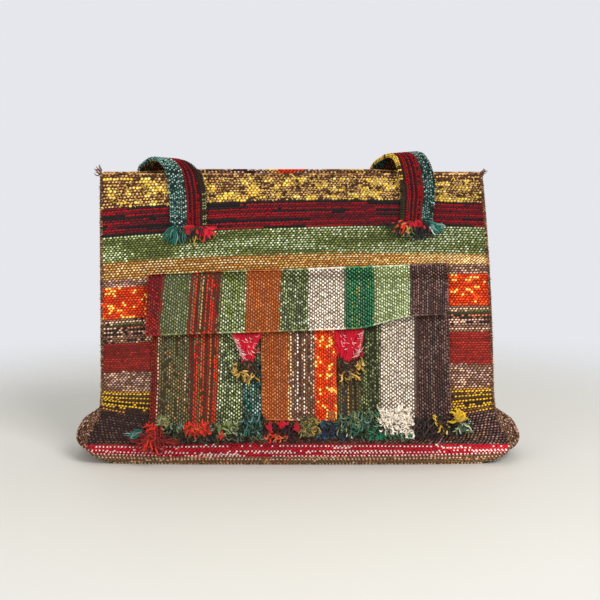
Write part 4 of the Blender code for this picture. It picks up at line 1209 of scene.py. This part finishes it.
# Frayed handle ends. Each bunch has its middle and half width in millimetres, strand count, heading, length,
# bend, girth and tones.
tealEnds, redEnds = "teal 5, aqua 3, tealDark 3", "rose 5, crimson 3"
darkEnds = "ink 4, pineDark 3, tealDark 2"
strapEnds = (
    ("front_left", strap["leftX"], -0.0015, False, (
        (-12, 5, 46, (-60, 10), (12, 18), 50, (0.6, 1), tealEnds),
        (-3, 4, 10, (-30, 20), (11, 16), 30, (0.7, 1), "aqua 2, sea 4"),
        (8, 9, 60, (-70, 70), (8, 15), 90, (0.9, 1.4), darkEnds),
        (6, 3, 6, (-85, -45), (7, 10), 60, (1.6, 2.2), redEnds),
        (3, 3, 4, (-40, 20), (6, 9), 120, (1.6, 2), redEnds),
        (10, 4, 7, (-60, 60), (5, 9), 120, (1.6, 2.2), redEnds),
        (15, 4, 15, (-5, 85), (9, 14), 130, (1.5, 2.1), redEnds),
        (6, 6, 10, (-40, 60), (12, 17), 40, (0.7, 1), "mustard 2, moss 3"))),
    ("front_right", strap["rightX"] - 0.0028, 0.004, False, (
        (12, 4, 26, (25, 85), (11, 17), 25, (0.9, 1.4), "aqua 4, teal 4, mist 2"),
        (-4, 14, 90, (-70, 60), (11, 19), 80, (0.9, 1.4), darkEnds),
        (-4, 13, 12, (-60, 60), (12, 18), 60, (0.6, 1), "pale 2, pine 3, oat 1"),
        (-11, 4, 14, (-80, -40), (9, 14), 80, (1, 1.5), "flame 3, scarlet 3, salmon 2"),
        (-12, 2, 6, (-40, 15), (5, 9), 90, (1.4, 1.8), redEnds),
        (-8, 3, 6, (-40, 10), (15, 18), 60, (0.9, 1.2), "mustard 3, sand 1"),
        (0, 6, 18, (-100, 60), (6, 10), 150, (1.5, 2.1), redEnds),
        (9, 2, 3, (0, 30), (11, 13), 40, (1.8, 2.2), redEnds))),
    ("back_left", strap["leftX"], 0.0, True, (
        (-9, 8, 40, (-50, 25), (10, 18), 60, (0.6, 1), tealEnds),
        (9, 9, 40, (-40, 50), (9, 16), 90, (0.7, 1.2), redEnds + ", ink 4"))),
    ("back_right", strap["rightX"], 0.0, True, (
        (-9, 8, 40, (-50, 25), (9, 16), 90, (0.7, 1.2), redEnds + ", ink 4"),
        (9, 9, 40, (-30, 55), (10, 18), 60, (0.6, 1), tealEnds))),
)
for number, (name, x, raised, back, bunches) in enumerate(strapEnds):
    root = strap["end"] + raised + 0.001
    node = "strap_tuft_" + name
    spinStrands(node + "_yarn", "tuft_teal_red", [
        walkStrands(count, 500 + 20 * k + number, (x + (middle - half) / 1000, x + (middle + half) / 1000),
                    (root - 0.003, root), (0.0015, 0.004), heading, length, (-bend, bend), 20, (1, 5), girth,
                    tones, back)
        for k, (middle, half, count, heading, length, bend, girth, tones) in enumerate(bunches)], node)

# Loose ends at the mouth corners, and fuzz on the seams and the lumpy bands.
hairs = {"corner": 16, "seam": 380, "slub": 620}


def panelHairs():
    rng = np.random.default_rng(640)
    batches = []
    for side, corner in ((-1, wall["topLeft"]), (1, wall["topRight"])):
        batches.append(walkStrands(
            hairs["corner"], 700 + side, (side * corner - 0.002, side * corner + 0.001), (0.291, 0.297),
            (0.0, 0.0015), (side * 80, side * 165), (3, 8), (-50, 50), 20, 1, (0.4, 0.8),
            "bark 3, umber 3, wine 1, sand 1", steps=6))
        z = 0.006 + 0.288 * rng.random(hairs["seam"])
        batches.append(walkStrands(
            hairs["seam"], 710 + side, side * (halfWidth(z, side < 0) - 0.0015), z, (-0.001, 0.001),
            (side * 30, side * 150), (2, 4.8), (-70, 70), 20, 0.8, (0.2, 0.4),
            "bark 3, umber 4, walnut 3, sand 1", steps=5))
    x = -0.19 + 0.372 * rng.random(hairs["slub"])
    z = np.interp(x, [-0.2, 0.0, 0.19], [0.2605, 0.27, 0.2667]) + 0.024 * rng.random(hairs["slub"])
    batches.append(walkStrands(
        hairs["slub"], 720, x, z, (0.0004, 0.001), (40, 140), (2, 4.5), (-150, 150), 20, (0.6, 1.4), (0.3, 0.5),
        "slub 4, butter 3, straw 4, tan 2", steps=5))
    spinStrands("panel_hairs", "striped_kilim", batches, None, sides=3)


panelHairs()


# Camera, light and floor.
view = {"target": (0.002, -0.02, 0.166), "distance": 1.4, "elevation": 9.0, "scale": 0.00102}
softboxes = {
    "keySoftbox": ((0.9, -1.5, 1.35), 0.9, 35, (0, 0, 0.12)),
    "fillSoftbox": ((-1.1, -1.5, 0.45), 1.4, 16, (0, 0, 0.1)),
    "topSoftbox": ((0.1, 0.4, 1.8), 1.4, 5, (0, 0, 0.15)),
}
floorShape = {"reach": 0.8, "ring": 96, "colour": (0.675, 0.66, 0.605, 1), "fade": (0.34, 0.79)}


def setCamera():
    camera = bpy.data.cameras.new("camera")
    camera.sensor_width = 36
    camera.lens = 36 * (view["distance"] / view["scale"]) / 600
    made = newObject("camera", camera)
    tilt = math.radians(view["elevation"])
    made.location = Vector(view["target"]) + Vector((0, -math.cos(tilt), math.sin(tilt))) * view["distance"]
    made.rotation_euler = (math.pi / 2 - tilt, 0, 0)
    scene.camera = made


def setLight():
    scene.view_settings.view_transform = "Standard"
    world = bpy.data.worlds.new("studio")
    scene.world = world
    world.use_nodes = True
    tree = world.node_tree
    sky = tree.nodes["Background"]
    fill(tree, sky, {"Color": (1, 1, 1, 1), "Strength": 0.55})
    shown = add(tree, "ShaderNodeBackground", {"Color": (0.79, 0.8, 0.84, 1)})
    path = add(tree, "ShaderNodeLightPath", {})
    mix = add(tree, "ShaderNodeMixShader", {
        "Fac": path.outputs["Is Camera Ray"], 1: sky.outputs["Background"], 2: shown.outputs["Background"]})
    fill(tree, tree.nodes["World Output"], {"Surface": mix.outputs["Shader"]})
    for name, (place, size, power, aim) in softboxes.items():
        lamp = bpy.data.lights.new(name, "AREA")
        lamp.size = size
        lamp.energy = power
        made = newObject(name, lamp)
        made.location = place
        made.rotation_euler = (Vector(aim) - Vector(place)).to_track_quat("-Z", "Y").to_euler()


def setFloor():
    ring, reach = floorShape["ring"], floorShape["reach"]
    turns = [math.tau * k / ring for k in range(ring)]
    mesh = bpy.data.meshes.new("floor")
    mesh.from_pydata([(reach * math.cos(turn), reach * math.sin(turn), 0) for turn in turns], [], [tuple(range(ring))])
    material = bpy.data.materials.new("paleStone")
    material.use_nodes = True
    tree = material.node_tree
    where = add(tree, "ShaderNodeTexCoord", {}).outputs["Object"]
    far = add(tree, "ShaderNodeVectorMath", {0: where}, operation="LENGTH").outputs["Value"]
    near, end = floorShape["fade"]
    fade = add(tree, "ShaderNodeMapRange", {
        "Value": far, "From Min": near, "From Max": end, "To Min": 1.0, "To Max": 0.0}, interpolation_type="SMOOTHSTEP")
    fill(tree, tree.nodes["Principled BSDF"], {
        "Base Color": floorShape["colour"], "Roughness": 0.6, "Alpha": fade.outputs["Result"]})
    mesh.materials.append(material)
    newObject("floor", mesh)


setCamera()
setLight()
setFloor()
for pattern in stitchObjects.values():
    bpy.data.objects.remove(pattern)
print("camera, light and floor set")
